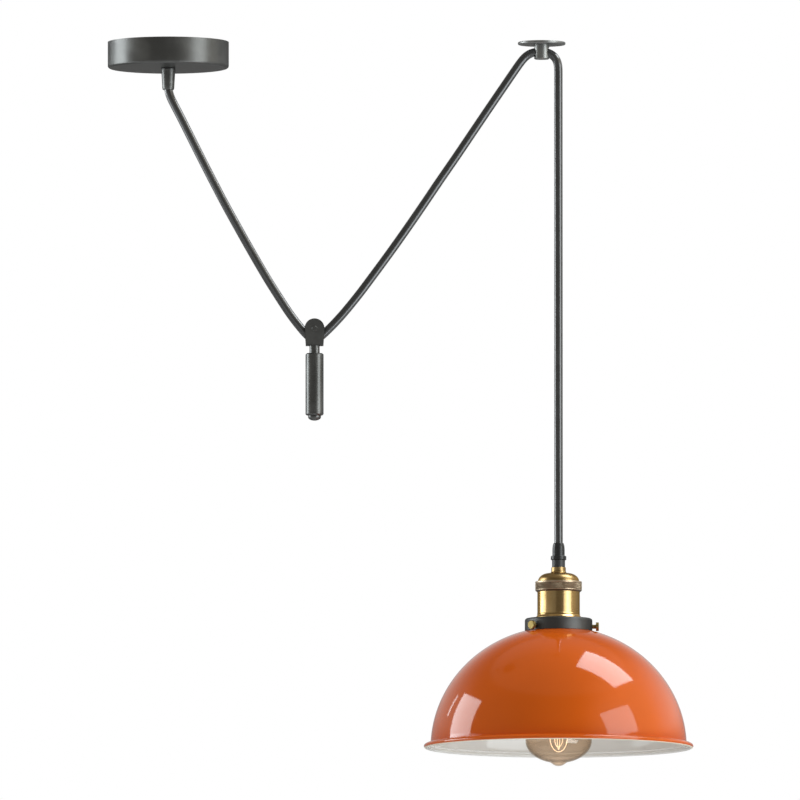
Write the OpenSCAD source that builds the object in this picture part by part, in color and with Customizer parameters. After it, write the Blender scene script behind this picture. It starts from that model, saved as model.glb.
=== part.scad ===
// Rise and fall pendant: a ceiling rose, a ceiling guide, a counterweight that hangs on a grooved
// wheel in the bight of the cable, and a brass lampholder with an enamelled dome shade.
// Millimetres, +Z up. The origin is the middle of the rose's face on the ceiling, and the cable
// runs in the XZ plane.

/* [Layout] */
// Rose centre to guide centre, along the ceiling
guide_x = 370; // [340:1:400]
// Rose centre to counterweight wheel, along the ceiling
wheel_x = 145; // [130:1:160]
// Ceiling to the axle of the counterweight wheel
wheel_drop = 285; // [270:1:300]
// Guide centre to the falling cable
fall_offset = 16.5; // [14:0.5:20]
// Ceiling to the top of the lampholder's cord grip
holder_drop = 498; // [440:1:560]

/* [Cable] */
// Outside diameter of the round flex
cable_d = 8.4; // [7:0.1:8.6]
// Gap between the flex and a bore that grips it
cable_clear = 0.2; // [0.1:0.05:0.4]
// Diameter of one insulated core
core_d = 2.6; // [2:0.1:2.8]

/* [Ceiling rose] */
// Outside diameter of the rose
rose_d = 120; // [100:1:140]
// Height of the rose
rose_h = 26; // [22:1:40]
// Sheet thickness of the rose
rose_wall = 1.2; // [0.8:0.1:2]
// Outside radius of the rose's lower edge
rose_edge_r = 2.4; // [2:0.1:4]
// Width of the mounting strap
strap_w = 18; // [14:1:24]
// Thickness of the mounting strap
strap_t = 1.5; // [1:0.1:2.5]
// Length of the strap's turned-down ears
ear_h = 13; // [11:1:18]
// Distance between the strap's two ceiling slots
slot_pitch = 60; // [50:1:70]
// Width of a ceiling slot
slot_w = 5; // [4:0.1:6]
// Length of a ceiling slot, end to end
slot_len = 12; // [8:1:16]
// Thread diameter of the rose's side screws
side_screw_d = 4; // [3:0.1:5]
// Length of a side screw
side_screw_len = 7; // [5:0.5:9]
// Ceiling to the side screws
side_screw_drop = 8; // [6:0.5:9]

/* [Rose cord grip] */
// Diameter of the collar under the rose
collar_d = 14.2; // [13.6:0.1:18]
// Height of that collar
collar_h = 2.4; // [1.5:0.1:4]
// Diameter of the cone just below the collar
cone_top_d = 13.8; // [13:0.1:14.1]
// Diameter of the cone where it starts to round in to its mouth
cone_low_d = 12.3; // [11.8:0.1:12.9]
// Diameter of the cone at its mouth
cone_mouth_d = 10.7; // [10.4:0.1:11.6]
// Length of the cone
cone_len = 19; // [14:0.5:26]
// Height over which the cone rounds in to its mouth
cone_round_h = 6; // [3:0.5:8]
// Thread diameter of the nipple that passes into the rose
nipple_d = 11; // [10.6:0.1:12]
// Height of the nipple inside the rose
nipple_h = 7; // [5:0.5:10]
// Size across flats of the locknut
locknut_af = 16; // [14:0.5:20]
// Thickness of the locknut
locknut_t = 3; // [2:0.1:4]
// Diameter of the grip's set screw
set_screw_d = 3; // [2:0.1:4]

/* [Terminal block] */
// Length of the block
block_len = 27; // [24:1:36]
// Depth of the block
block_w = 16; // [12:1:20]
// Height of the block
block_h = 12; // [10:0.5:14]
// Distance between its ways
block_pitch = 8; // [7:0.1:9]

/* [Ceiling guide] */
// Diameter of the guide's flange
flange_d = 47.2; // [42:0.2:60]
// Thickness of the flange
flange_t = 2.6; // [2:0.1:4]
// Rounding of the flange's edges
flange_edge_r = 0.9; // [0.4:0.1:1]
// Diameter of the boss that the cable runs through
boss_d = 15; // [14:0.1:20]
// Height of the boss below the flange
boss_h = 14.4; // [13.6:0.1:20]
// Diameter of the cross bore
guide_bore_d = 10.4; // [9.8:0.1:10.6]
// Ceiling to the centre of the cross bore
guide_bore_drop = 10.2; // [9.9:0.05:10.3]
// Distance between the flange's two screw holes
guide_hole_pitch = 32; // [28:1:36]
// Diameter of a screw hole
guide_hole_d = 3.8; // [3:0.1:4.5]
// Diameter of the spigot that rivets the boss to the flange
spigot_d = 6; // [4:0.1:8]

/* [Pulley block] */
// Rim diameter of the wheel
wheel_d = 17; // [15:0.1:18]
// Radius at the bottom of the groove
groove_r = 5.6; // [5:0.1:5.8]
// Width of the wheel
wheel_w = 9.8; // [9.4:0.1:11]
// Diameter of the axle pin
axle_d = 4; // [3:0.1:5]
// Running gap between the axle and the wheel, all round
axle_clear = 0.03; // [0.02:0.01:0.08]
// Gap at each side of the wheel
wheel_side_gap = 0.4; // [0.2:0.05:0.8]
// Thickness of each fork plate
plate_t = 1.8; // [1.4:0.1:3]
// Radius of the fork's round head
fork_head_r = 9.8; // [9.2:0.1:12]
// Width of the fork at its foot
fork_foot_w = 17.5; // [15:0.1:19]
// Thickness of the fork's base
fork_base_t = 2.1; // [1.8:0.1:5]
// Gap between the cable and the fork's base
fork_base_gap = 0.5; // [0.2:0.05:1]
// Width of the bevel round each plate
bevel = 0.5; // [0.2:0.1:0.7]
// Diameter of the axle's peened ends
peen_d = 5.6; // [5.2:0.1:7]
// Height of the axle's peened ends
peen_h = 0.5; // [0.3:0.1:1]

/* [Counterweight] */
// Diameter of the neck between fork and weight
neck_d = 10.1; // [9.3:0.1:14]
// Height of the neck
neck_h = 7.7; // [5:0.1:12]
// Diameter of the weight
weight_d = 17.9; // [15:0.1:30]
// Length of the weight
weight_h = 61.5; // [40:0.5:90]
// Bevel at each end of the weight
weight_bevel = 1.1; // [0.4:0.1:2]
// Diameter of the domed nut below the weight
dome_nut_d = 12.8; // [10:0.1:14]
// Height of the domed nut
dome_nut_h = 5.3; // [4.8:0.1:9]
// Thread diameter of the bolt that holds the stack together
tie_d = 5; // [4:0.1:6]

/* [Lampholder cord grip] */
// Diameter at the top of the grip
grip_top_d = 9.6; // [9.4:0.1:10.4]
// Diameter above the grip's collar
grip_low_d = 12.2; // [11.2:0.1:13]
// Height over which the grip rounds in to its top
grip_round_h = 7.5; // [5:0.1:9]
// Height of the grip above its collar
grip_taper_h = 12.7; // [10:0.1:16]
// Diameter of the grip's collar
grip_collar_d = 15.4; // [14:0.1:17]
// Height of the grip's collar
grip_collar_h = 4.1; // [3:0.1:6]
// Diameter of the grip's base
grip_base_d = 12.9; // [12.2:0.1:13.6]
// Height of the grip's base
grip_base_h = 7.2; // [4:0.1:9]

/* [Lampholder] */
// Outside diameter of the cap's neck
cap_neck_d = 14.3; // [13.9:0.1:16]
// Height of the cap's neck
cap_neck_h = 4.1; // [3:0.1:7]
// Height of the cap's dome
cap_dome_h = 10; // [8:0.1:14]
// Radius of the fillet between the cap's neck and its dome
cap_fillet_r = 2.5; // [1:0.1:2.8]
// Wall of the brass shells
brass_wall = 1.1; // [0.8:0.1:1.4]
// Outside diameter of the brass body
body_d = 42; // [40:0.1:43]
// Height of the straight part of the body below the ring
body_h = 21.9; // [16:0.1:30]
// Height of the body's flared foot
foot_h = 4.2; // [3:0.1:6]
// Diameter of the body's flared foot
foot_d = 45.2; // [44.4:0.1:48]
// Outside diameter of the knurled ring
ring_d = 46.4; // [46:0.1:50]
// Height of the knurled ring
ring_h = 10.4; // [7:0.1:14]
// Height of the plain bead at each edge of the ring
ring_bead_h = 1.6; // [1.5:0.1:2.4]
// Bevel at the ring's lower edge
ring_bevel = 1.6; // [0.6:0.1:1.8]
// Gap between screwed parts of the lampholder
screw_gap = 0.15; // [0.1:0.05:0.3]
// Length of the holder's skirt below the foot
skirt_len = 30.5; // [26:0.5:36]
// Inside diameter of the lamp thread shell
thread_d = 26.8; // [26.6:0.1:27.4]
// Sheet thickness of the thread shell
shell_t = 0.4; // [0.3:0.05:0.6]

/* [Gallery] */
// Outside diameter of the gallery
gallery_d = 66.9; // [64:0.1:72]
// Height of the gallery
gallery_h = 12.1; // [11.8:0.1:13]
// Sheet thickness of the gallery
gallery_wall = 1.3; // [1:0.1:1.6]
// Outside radius of the gallery's upper edge
gallery_edge_r = 2.4; // [1.7:0.1:3]
// Outside diameter of the nut under the gallery
gallery_nut_d = 47; // [43:0.5:50]
// Height of that nut
gallery_nut_h = 6; // [4:0.5:9]
// Thread diameter of a thumb screw
thumb_d = 4; // [3:0.1:4]
// Diameter of a thumb screw's head
thumb_head_d = 8.6; // [7:0.1:9]
// Thickness of a thumb screw's head
thumb_head_t = 2.9; // [1.5:0.1:4]
// Bare length of a thumb screw outside the gallery
thumb_reach = 3.5; // [3.2:0.1:8]
// Gallery's top to the thumb screws
thumb_drop = 8.2; // [8:0.1:8.5]

/* [Shade] */
// Outside diameter of the flared rim
rim_d = 266.6; // [250:0.2:280]
// Outward reach of the flared rim past the dome
rim_reach = 6.6; // [4:0.1:9]
// Height of the dome's half ellipse above its widest level
dome_h = 120; // [116:0.5:124]
// Sheet thickness of the shade
shade_wall = 1; // [0.8:0.1:1.6]
// Outside diameter of the shade's neck
shade_neck_d = 55; // [52:0.2:57]
// Outward reach of the neck's bead
neck_bead = 1.7; // [1:0.1:2]
// Height of the neck's bead
neck_bead_h = 1.6; // [1:0.1:2]
// Height of the flare
flare_h = 3.4; // [3:0.1:6]
// Radius of the rim's rolled edge
rim_roll_r = 2.2; // [1.4:0.1:2.6]
// Level of the flare's top above the dome's widest level
flare_level = 5; // [4:0.1:8]

/* [Bulb] */
// Overall length of the bulb
bulb_len = 138.6; // [136:0.1:144]
// Largest diameter of the glass
bulb_d = 65.8; // [60:0.2:70]
// Bottom of the glass to its widest level
bulb_low_h = 25.1; // [22:0.1:32]
// Height of the tip below the round of the glass
tip_h = 3.1; // [0.8:0.1:4]
// Thickness of the glass
glass_t = 0.9; // [0.7:0.1:1.2]
// Outside diameter of the metal cap
lamp_cap_d = 26.2; // [25.8:0.1:26.4]
// Length of the metal cap with its contact
lamp_cap_h = 26; // [24:0.5:28]
// Diameter of the glass neck inside the cap
bulb_neck_d = 24.4; // [22:0.2:25]
// Thickness of the filament wire
filament_d = 0.6; // [0.4:0.1:1]
// Distance from the bulb's axis to the legs of the widest filament loop
loop_r = 9; // [7:0.5:11]

/* [Hidden] */

// Finishes, as the photograph shows them.
GUNMETAL = [0.24, 0.24, 0.23];
FLEX_GREY = [0.2, 0.2, 0.19];
BRASS = [0.66, 0.5, 0.25];
BLACK = [0.16, 0.16, 0.16];
ENAMEL_ORANGE = [0.82, 0.32, 0.1];
ZINC = [0.75, 0.75, 0.76];
GLASS_AMBER = [0.75, 0.6, 0.4, 0.4];

FINE = 96; // facets drawn on large round faces
SMALL = 48; // facets drawn on small round faces
EPS = 0.01; // overshoot of a cut past the face that it leaves

cable_r = cable_d / 2;
grip_bore_d = cable_d + 2 * cable_clear;

// Rose and its grip, from the ceiling down.
rose_r = rose_d / 2;
rose_floor_z = rose_wall - rose_h;
hole_clear = 0.15; // gap round a screw in a plain hole
ear_gap = 0.35; // gap between an ear's corners and the rose's wall
ear_x = sqrt(pow(rose_r - rose_wall, 2) - pow(strap_w / 2, 2)) - ear_gap;
cone_top_z = -rose_h - collar_h;
cone_mouth_z = cone_top_z - cone_len;
nipple_top_z = rose_floor_z + nipple_h;
seat_gap = 0.1; // gap between a screwed piece and its seat
locknut_z = rose_floor_z + seat_gap;
set_screw_z = cone_top_z - cone_len / 3;
block_y = 30; // centre of the block, behind the nipple
block_z = rose_floor_z + seat_gap;
block_bore_d = 3.4;
block_bore_z = block_z + 4;
earth_screw_x = 16;

// Wheel, fork and weight, from the axle down.
cable_turn_r = groove_r + cable_clear + cable_r; // axle to the middle of the cable
fork_base_top = -wheel_drop - cable_turn_r - cable_r - fork_base_gap;
fork_base_bottom = fork_base_top - fork_base_t;
fork_half_gap = wheel_w / 2 + wheel_side_gap;
fork_half_w = fork_half_gap + plate_t;
neck_bottom = fork_base_bottom - neck_h;
weight_bottom = neck_bottom - weight_h;
tie_head_r = tie_d * 0.9;
tie_clear = 0.15; // gap round the tie bolt
tie_end = weight_bottom - dome_nut_h * 0.6;

// Lampholder stack, from the top of its grip down.
fall_x = guide_x + fall_offset;
grip_collar_z = -holder_drop - grip_taper_h;
grip_base_z = grip_collar_z - grip_collar_h;
cap_top_z = grip_base_z - grip_base_h;
dome_top_z = cap_top_z - cap_neck_h;
ring_top_z = dome_top_z - cap_dome_h;
ring_bottom_z = ring_top_z - ring_h;
foot_top_z = ring_bottom_z - body_h;
foot_z = foot_top_z - foot_h;
body_r = body_d / 2;
neck_bore_r = cap_neck_d / 2 - brass_wall;
spigot_r = neck_bore_r - screw_gap;
spigot_end_z = dome_top_z - 1;
cap_rim_z = ring_top_z - 1.6; // where the cap and the body meet inside the ring
core_r = body_r - brass_wall - screw_gap;
core_top_z = ring_bottom_z - 2;
skirt_end_z = foot_z - skirt_len;
cavity_top_z = foot_z - gallery_wall - 4;
shell_r = thread_d / 2 + shell_t;
core_cavity_r = shell_r + seat_gap;

// Gallery and shade.
gallery_z = foot_z - screw_gap;
gallery_bottom_z = gallery_z - gallery_h;
gallery_r = gallery_d / 2;
gallery_nut_z = gallery_z - gallery_wall - seat_gap;
thumb_z = gallery_z - thumb_drop;
thumb_tip_gap = 0.3; // gap between a thumb screw's tip and the shade's neck
THUMB_ANGLES = [-1, -134, 115]; // about the lampholder, seen from above: right, front left, back
dome_r = rim_d / 2 - rim_reach;
gallery_gap = 0.3; // gap between the gallery's lower edge and the dome
dome_centre_z = gallery_bottom_z - gallery_gap - ellipse_z(gallery_r, dome_r, dome_h);
shade_neck_r = shade_neck_d / 2;
shade_neck_z = dome_centre_z + ellipse_z(shade_neck_r, dome_r, dome_h);
shade_neck_top_z = gallery_z - gallery_wall - 2.6;
flare_z = dome_centre_z + flare_level;
flare_r = ellipse_r(flare_level, dome_r, dome_h);
roll_centre_r = rim_d / 2 - rim_roll_r;
roll_centre_z = flare_z - flare_h;

// Bulb, from its contact down.
contact_gap = 0.4; // gap between the bulb's contact and the spring's tip
bulb_top_z = cavity_top_z - 2.6;
bulb_tip_z = bulb_top_z - bulb_len;
bulb_round_z = bulb_tip_z + tip_h;
bulb_wide_z = bulb_tip_z + bulb_low_h;
cap_shell_top_z = bulb_top_z - 4.5;
cap_shell_end_z = bulb_top_z - lamp_cap_h;
glass_neck_top_z = cap_shell_end_z + 8;
neck_r = bulb_neck_d / 2;
stem_press_z = glass_neck_top_z - 25; // where the lead wires leave the stem
rod_r = 1.2;
button_r = 3;
rod_end_z = bulb_wide_z + 21;
button_z = rod_end_z + 14;
loop_bottom_z = bulb_wide_z - 11;
loop_step = 2.4; // each loop ends this much above the one outside it

// Cable routes in the XZ plane: points chosen by hand along the photographed curve.
LEFT_ROUTE = [
    [0, -15.8], [0, -24], [0, -36], [0, -46], [0.6, -50.5], [2.3, -55], [5, -60.5], [12, -74],
    [22, -94], [33, -116], [45, -139.5], [57, -162.5], [70.5, -187], [84, -211], [98, -235],
    [108, -251], [118, -266.5], [124, -275], [129.5, -282], [134, -287.5], [137.5, -291.5],
    [140, -293.6], [142.3, -294.7], [144.6, -295.1], [145, -295.1]
];
RIGHT_ROUTE = [
    [145, -295.1], [146.3, -295.1], [148, -294.6], [150, -293.6], [152.4, -291.8], [155.5, -288.8],
    [161.5, -283], [169, -275], [176, -267], [188.5, -251.5], [200.5, -235.5], [218.5, -211],
    [235.5, -187], [252, -163], [268.5, -138.5], [285, -114.5], [301.5, -90], [318, -65.5],
    [334, -42], [346, -24.4], [350.8, -17.8], [354, -14.1], [357.4, -11.7], [361.4, -10.1],
    [365.6, -9.6], [370, -9.6]
];
FALL_ROUTE = [
    [370, -9.6], [372.2, -9.6], [376.6, -10.3], [380.6, -12.3], [383.8, -15.5], [385.8, -19.5],
    [386.5, -24], [386.5, -36], [386.5, -60], [386.5, -100], [386.5, -150], [386.5, -200],
    [386.5, -250], [386.5, -300], [386.5, -350], [386.5, -400], [386.5, -450], [386.5, -490],
    [386.5, -514], [386.5, -528]
];
// The three cores fan out from the flex to the block, as [x, y, z] points.
LIVE_ROUTE = [
    [-1.6, 1, -15.7], [-1.8, 1.2, -13.5], [-2.8, 2.6, -11], [-4.6, 5.2, -9.4], [-6.6, 8.6, -9.2],
    [-7.7, 12, -10.8], [-8, 14.6, -13.8], [-8, 16.6, -17], [-8, 18.8, -19.6], [-8, 21.4, -20.7], [-8, 26, -20.7]
];
NEUTRAL_ROUTE = [
    [0, -1.9, -15.7], [0, -2.1, -13], [0, -1.9, -10], [0, 0, -7.6], [0, 3, -6.4], [0, 6.6, -6.8],
    [0, 10, -8.8], [0, 12.8, -12], [0, 15, -15.6], [0, 17.6, -18.8], [0, 20.6, -20.6], [0, 26, -20.7]
];
EARTH_ROUTE = [for (p = LIVE_ROUTE) [-p[0], p[1], p[2]]];

// Half height of an ellipse at a distance r from its axis.
function ellipse_z(r, a, b) = b * sqrt(1 - pow(r / a, 2));
// Half width of an ellipse at a height z above its widest level.
function ellipse_r(z, a, b) = a * sqrt(1 - pow(z / b, 2));
// Points of an arc of radius r, or of an ellipse r by q, round [x, z].
function arc(x, z, r, from, to, n, q = undef) =
    [for (i = [0:n]) let (a = from + (to - from) * i / n) [x + r * cos(a), z + (is_undef(q) ? r : q) * sin(a)]];
// Points of a cubic curve from a to d that leaves towards b and arrives from c.
function curve(a, b, c, d, n) =
    [for (i = [0:n]) let (t = i / n, s = 1 - t) s * s * s * a + 3 * s * s * t * b + 3 * s * t * t * c + t * t * t * d];

// A solid turned round the Z axis at x from [radius, z] points, where repeated points count once.
module turned(points, x = 0, facets = FINE) {
    outline = [for (i = [0:len(points) - 1]) if (i == 0 || norm(points[i] - points[i - 1]) > EPS) points[i]];
    translate([x, 0, 0]) rotate_extrude($fn = facets) polygon(outline);
}

// A plain cylinder between two heights.
module post(r, z0, z1, facets = SMALL) {
    translate([0, 0, min(z0, z1)]) cylinder(h = abs(z1 - z0), r = r, $fn = facets);
}

// Directions, and the ring of points that a tube has at a point of its route.
function unit(v) = v / norm(v);
function heading(p, i) = unit(p[min(i + 1, len(p) - 1)] - p[max(i - 1, 0)]);
function tube_ring(c, d, r, sides, level) =
    let (u = unit(cross(d, level)), v = cross(d, u))
    [for (k = [0:sides - 1]) c + r * (cos(360 * k / sides) * u + sin(360 * k / sides) * v)];

// A tube of radius r with one ring of points at each point of its route, which never runs along
// the level direction.
module tube(p, r, sides, level = [0, 1, 0]) {
    n = len(p);
    rings = [for (i = [0:n - 1]) each tube_ring(p[i], heading(p, i), r, sides, level)];
    skin = [
        for (i = [0:n - 2], k = [0:sides - 1])
        let (a = i * sides + k, b = i * sides + (k + 1) % sides)
        each [[a, b, a + sides], [b, b + sides, a + sides]]
    ];
    start = [for (k = [1:sides - 2]) [0, k + 1, k]];
    last = (n - 1) * sides;
    end = [for (k = [1:sides - 2]) [last, last + k, last + k + 1]];
    polyhedron(points = rings, faces = concat(skin, start, end));
}

function in_plane(route) = [for (p = route) [p[0], 0, p[1]]];

// --- Ceiling rose -----------------------------------------------------------------------------

// Deep-drawn cup, open at the ceiling, with a hole for the grip and two for its side screws.
module ceiling_rose() {
    inner_edge_r = rose_edge_r - rose_wall;
    color(GUNMETAL) difference() {
        turned(concat(
            [[nipple_d / 2 + hole_clear, -rose_h]],
            arc(rose_r - rose_edge_r, rose_edge_r - rose_h, rose_edge_r, -90, 0, 6),
            [[rose_r, 0], [rose_r - rose_wall, 0]],
            arc(rose_r - rose_edge_r, rose_edge_r - rose_h, inner_edge_r, 0, -90, 6),
            [[nipple_d / 2 + hole_clear, rose_floor_z]]
        ));
        for (side = [-1, 1]) side_screw_axis(side)
            cylinder(h = 2 * rose_wall + 2, r = side_screw_d / 2 + hole_clear, center = true, $fn = SMALL);
    }
}

// The side screws' axes point out of the rose, at its silhouette, with their origin in its wall.
module side_screw_axis(side) {
    translate([side * (rose_r - rose_wall / 2), 0, -side_screw_drop]) rotate([0, side * 90, 0]) children();
}

// Steel strap against the ceiling: two slots for the ceiling screws and two ears for the rose's.
module mounting_strap() {
    ear_hole_r = side_screw_d / 2 + seat_gap / 2;
    color(ZINC) difference() {
        union() {
            translate([-ear_x, -strap_w / 2, -strap_t]) cube([2 * ear_x, strap_w, strap_t]);
            for (side = [-1, 1])
                translate([side * (ear_x - strap_t / 2) - strap_t / 2, -strap_w / 2, -ear_h])
                    cube([strap_t, strap_w, ear_h]);
        }
        for (side = [-1, 1]) {
            translate([side * slot_pitch / 2, 0, -strap_t - EPS]) linear_extrude(strap_t + 2 * EPS) slot_outline();
            translate([side * ear_x, 0, -side_screw_drop]) rotate([0, 90, 0])
                cylinder(h = 4 * strap_t, r = ear_hole_r, center = true, $fn = SMALL);
        }
        translate([earth_screw_x, 0, -strap_t - EPS])
            cylinder(h = strap_t + 2 * EPS, r = side_screw_d / 2 + seat_gap / 2, $fn = SMALL);
    }
}

module slot_outline() {
    end = (slot_len - slot_w) / 2;
    for (side = [-1, 1]) translate([side * end, 0]) circle(d = slot_w, $fn = SMALL);
    square([2 * end, slot_w], center = true);
}

// Headless side screws, flush with the rose, each with a driver slot.
module rose_side_screws() {
    color(ZINC) for (side = [-1, 1]) side_screw_axis(side)
        translate([0, 0, rose_wall / 2 - side_screw_len]) difference() {
            cylinder(h = side_screw_len, d = side_screw_d, $fn = SMALL);
            translate([-side_screw_d, -0.4, side_screw_len - 0.8]) cube([2 * side_screw_d, 0.8, 1]);
        }
}

// Three-way block that lies on the rose's floor, bored from front to back.
module terminal_block() {
    color("ivory") difference() {
        translate([-block_len / 2, block_y - block_w / 2, block_z]) cube([block_len, block_w, block_h]);
        for (i = [-1:1]) {
            translate([i * block_pitch, block_y, block_bore_z]) rotate([90, 0, 0])
                cylinder(h = block_w + 2, d = block_bore_d, center = true, $fn = SMALL);
            translate([i * block_pitch, block_y, block_bore_z + block_bore_d / 2])
                cylinder(h = block_h, d = side_screw_d, $fn = SMALL);
        }
        for (i = [-0.5, 0.5], front = [-1, 1])
            translate([i * block_pitch - 0.5, block_y + front * block_w / 2 - 1.5, block_z - 1]) cube([1, 3, block_h + 2]);
    }
}

// Brass clamping screws of the terminal block.
module terminal_screws() {
    screw_top_z = block_z + block_h - 1.5;
    color(BRASS) for (i = [-1:1]) translate([i * block_pitch, block_y, 0]) difference() {
        post(side_screw_d / 2 - seat_gap, block_bore_z + block_bore_d / 2 + 0.2, screw_top_z);
        translate([-side_screw_d / 2, -0.4, screw_top_z - 0.8]) cube([side_screw_d, 0.8, 2]);
    }
}

// Conical cord grip with a threaded nipple that passes up into the rose.
module rose_grip() {
    low = [cone_low_d / 2, cone_mouth_z + cone_round_h];
    mouth = [cone_mouth_d / 2, cone_mouth_z];
    color(GUNMETAL) difference() {
        turned(concat(
            [[nipple_d / 2, nipple_top_z], [nipple_d / 2, -rose_h - seat_gap]],
            [[collar_d / 2 - 0.4, -rose_h - seat_gap], [collar_d / 2, -rose_h - 0.5]],
            [[collar_d / 2, cone_top_z + 0.6], [cone_top_d / 2, cone_top_z]],
            curve(low, low - [0.1, cone_round_h * 0.4], mouth + [0.6, 0.3], mouth, 8),
            [[grip_bore_d / 2, cone_mouth_z], [grip_bore_d / 2, nipple_top_z]]
        ), facets = SMALL);
        set_screw_axis() cylinder(h = cone_top_d, d = set_screw_d + seat_gap, $fn = SMALL);
    }
}

// The set screw's axis points out of the back of the cone, from the flex.
module set_screw_axis() {
    translate([0, grip_bore_d / 2 - 0.4, set_screw_z]) rotate([-90, 0, 0]) children();
}

// Headless screw that pinches the flex from behind.
module rose_grip_screw() {
    length = cone_mouth_d / 2 - grip_bore_d / 2 + 0.6;
    color(BLACK) set_screw_axis() translate([0, 0, 0.45]) cylinder(h = length, d = set_screw_d, $fn = SMALL);
}

// Hexagon locknut on the nipple, inside the rose.
module rose_grip_nut() {
    color(ZINC) translate([0, 0, locknut_z]) difference() {
        cylinder(h = locknut_t, d = locknut_af / cos(30), $fn = 6);
        translate([0, 0, -1]) cylinder(h = locknut_t + 2, r = nipple_d / 2 + screw_gap, $fn = SMALL);
    }
}

module live_core() { color("saddlebrown") tube(LIVE_ROUTE, core_d / 2, 8, [1, 0, 0]); }
module neutral_core() { color("royalblue") tube(NEUTRAL_ROUTE, core_d / 2, 8, [1, 0, 0]); }
module earth_core() { color("yellowgreen") tube(EARTH_ROUTE, core_d / 2, 8, [1, 0, 0]); }

// Earth screw through the strap, with a cheese head on the underside.
module earth_screw() {
    color(BRASS) translate([earth_screw_x, 0, 0]) {
        post(side_screw_d / 2, -strap_t - 0.1, -0.2);
        difference() {
            post(side_screw_d, -strap_t - 2.5, -strap_t - 0.1);
            translate([-5, -0.5, -strap_t - 3]) cube([10, 1, 1.4]);
        }
    }
}

// --- Ceiling guide ----------------------------------------------------------------------------

// Round plate against the ceiling, with rounded edges and two countersunk screw holes.
module guide_flange() {
    edge_x = flange_d / 2 - flange_edge_r;
    color(GUNMETAL) difference() {
        turned(concat(
            [[spigot_d / 2 + 0.05, -flange_t]],
            arc(edge_x, flange_edge_r - flange_t, flange_edge_r, -90, 0, 5),
            arc(edge_x, -flange_edge_r, flange_edge_r, 0, 90, 5),
            [[spigot_d / 2 + 0.05, 0]]
        ), guide_x);
        for (side = [-1, 1]) translate([guide_x, side * guide_hole_pitch / 2, 0]) {
            post(guide_hole_d / 2, -flange_t - 1, 1);
            translate([0, 0, -flange_t - EPS])
                cylinder(h = guide_hole_d / 2 - 0.5, r1 = guide_hole_d - 0.5, r2 = guide_hole_d / 2, $fn = SMALL);
        }
    }
}

// Turned boss that the cable runs through, riveted to the flange by its spigot.
module guide_boss() {
    lip = 0.7; // bevel at the boss's foot
    foot = -flange_t - boss_h;
    color(GUNMETAL) difference() {
        turned([
            [0, foot], [boss_d / 2 - lip, foot], [boss_d / 2, foot + lip], [boss_d / 2, -flange_t],
            [spigot_d / 2, -flange_t], [spigot_d / 2, -0.2], [0, -0.2]
        ], guide_x, facets = SMALL);
        translate([guide_x, 0, -guide_bore_drop]) rotate([0, 90, 0])
            cylinder(h = 2 * boss_d, d = guide_bore_d, center = true, $fn = SMALL);
    }
}

// --- Cable ------------------------------------------------------------------------------------

module cable_left_run() { color(FLEX_GREY) tube(in_plane(LEFT_ROUTE), cable_r, 12); }
module cable_right_run() { color(FLEX_GREY) tube(in_plane(RIGHT_ROUTE), cable_r, 12); }
module cable_fall() { color(FLEX_GREY) tube(in_plane(FALL_ROUTE), cable_r, 12); }

// --- Pulley block and counterweight -----------------------------------------------------------

// Outline of a fork plate, drawn round the axle, set in by a bevel.
module plate_outline(inset = 0) {
    foot = fork_base_bottom + wheel_drop;
    head_r = fork_head_r - inset;
    circle(r = head_r, $fn = FINE);
    polygon([
        [-head_r, 0], [head_r, 0], [fork_foot_w / 2 - inset, foot + inset], [inset - fork_foot_w / 2, foot + inset]
    ]);
}

// U-shaped fork: two round-headed plates on one base, bored for the axle and the tie bolt.
module pulley_fork() {
    color(GUNMETAL) translate([wheel_x, 0, 0]) difference() {
        union() {
            for (side = [-1, 1]) translate([0, side * fork_half_gap, -wheel_drop]) rotate([90, 0, 0])
                mirror([0, 0, side > 0 ? 1 : 0]) {
                    linear_extrude(plate_t - bevel) plate_outline();
                    translate([0, 0, plate_t - bevel]) linear_extrude(bevel) plate_outline(bevel);
                }
            translate([-fork_foot_w / 2, -fork_half_gap - bevel, fork_base_bottom])
                cube([fork_foot_w, 2 * (fork_half_gap + bevel), fork_base_t]);
        }
        translate([0, 0, -wheel_drop]) rotate([90, 0, 0])
            cylinder(h = 4 * fork_half_w, r = axle_d / 2 + 0.02, center = true, $fn = SMALL);
        post(tie_d / 2 + tie_clear, fork_base_bottom - 1, fork_base_top + 1);
        translate([0, 0, fork_base_top - fork_base_t * 0.8])
            cylinder(h = fork_base_t * 0.8 + EPS, r1 = tie_d / 2 + tie_clear, r2 = tie_head_r + tie_clear, $fn = SMALL);
    }
}

// Axle pin, peened over at both plates.
module fork_axle() {
    end_y = fork_half_w + 0.05;
    color(GUNMETAL) translate([wheel_x, 0, -wheel_drop]) rotate([90, 0, 0]) {
        cylinder(h = 2 * end_y, d = axle_d, center = true, $fn = SMALL);
        for (side = [0, 1]) mirror([0, 0, side]) translate([0, 0, end_y])
            cylinder(h = peen_h, d1 = peen_d, d2 = peen_d - 2 * peen_h, $fn = SMALL);
    }
}

// Wheel with a round groove for the cable, turned about its own axis.
module pulley_wheel() {
    half_w = wheel_w / 2;
    seat_r = cable_r + cable_clear; // radius of the groove's round
    rim_r = wheel_d / 2;
    lip_angle = acos((cable_turn_r - rim_r) / seat_r); // from the groove's bottom to its lip
    bore_r = axle_d / 2 + axle_clear;
    color(BLACK) translate([wheel_x, 0, -wheel_drop]) rotate([90, 0, 0])
        rotate_extrude($fn = FINE) polygon(concat(
            [[bore_r, -half_w], [rim_r - 0.4, -half_w], [rim_r, -half_w + 0.3]],
            arc(cable_turn_r, 0, seat_r, 180 + lip_angle, 180 - lip_angle, 14),
            [[rim_r, half_w - 0.3], [rim_r - 0.4, half_w], [bore_r, half_w]]
        ));
}

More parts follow.
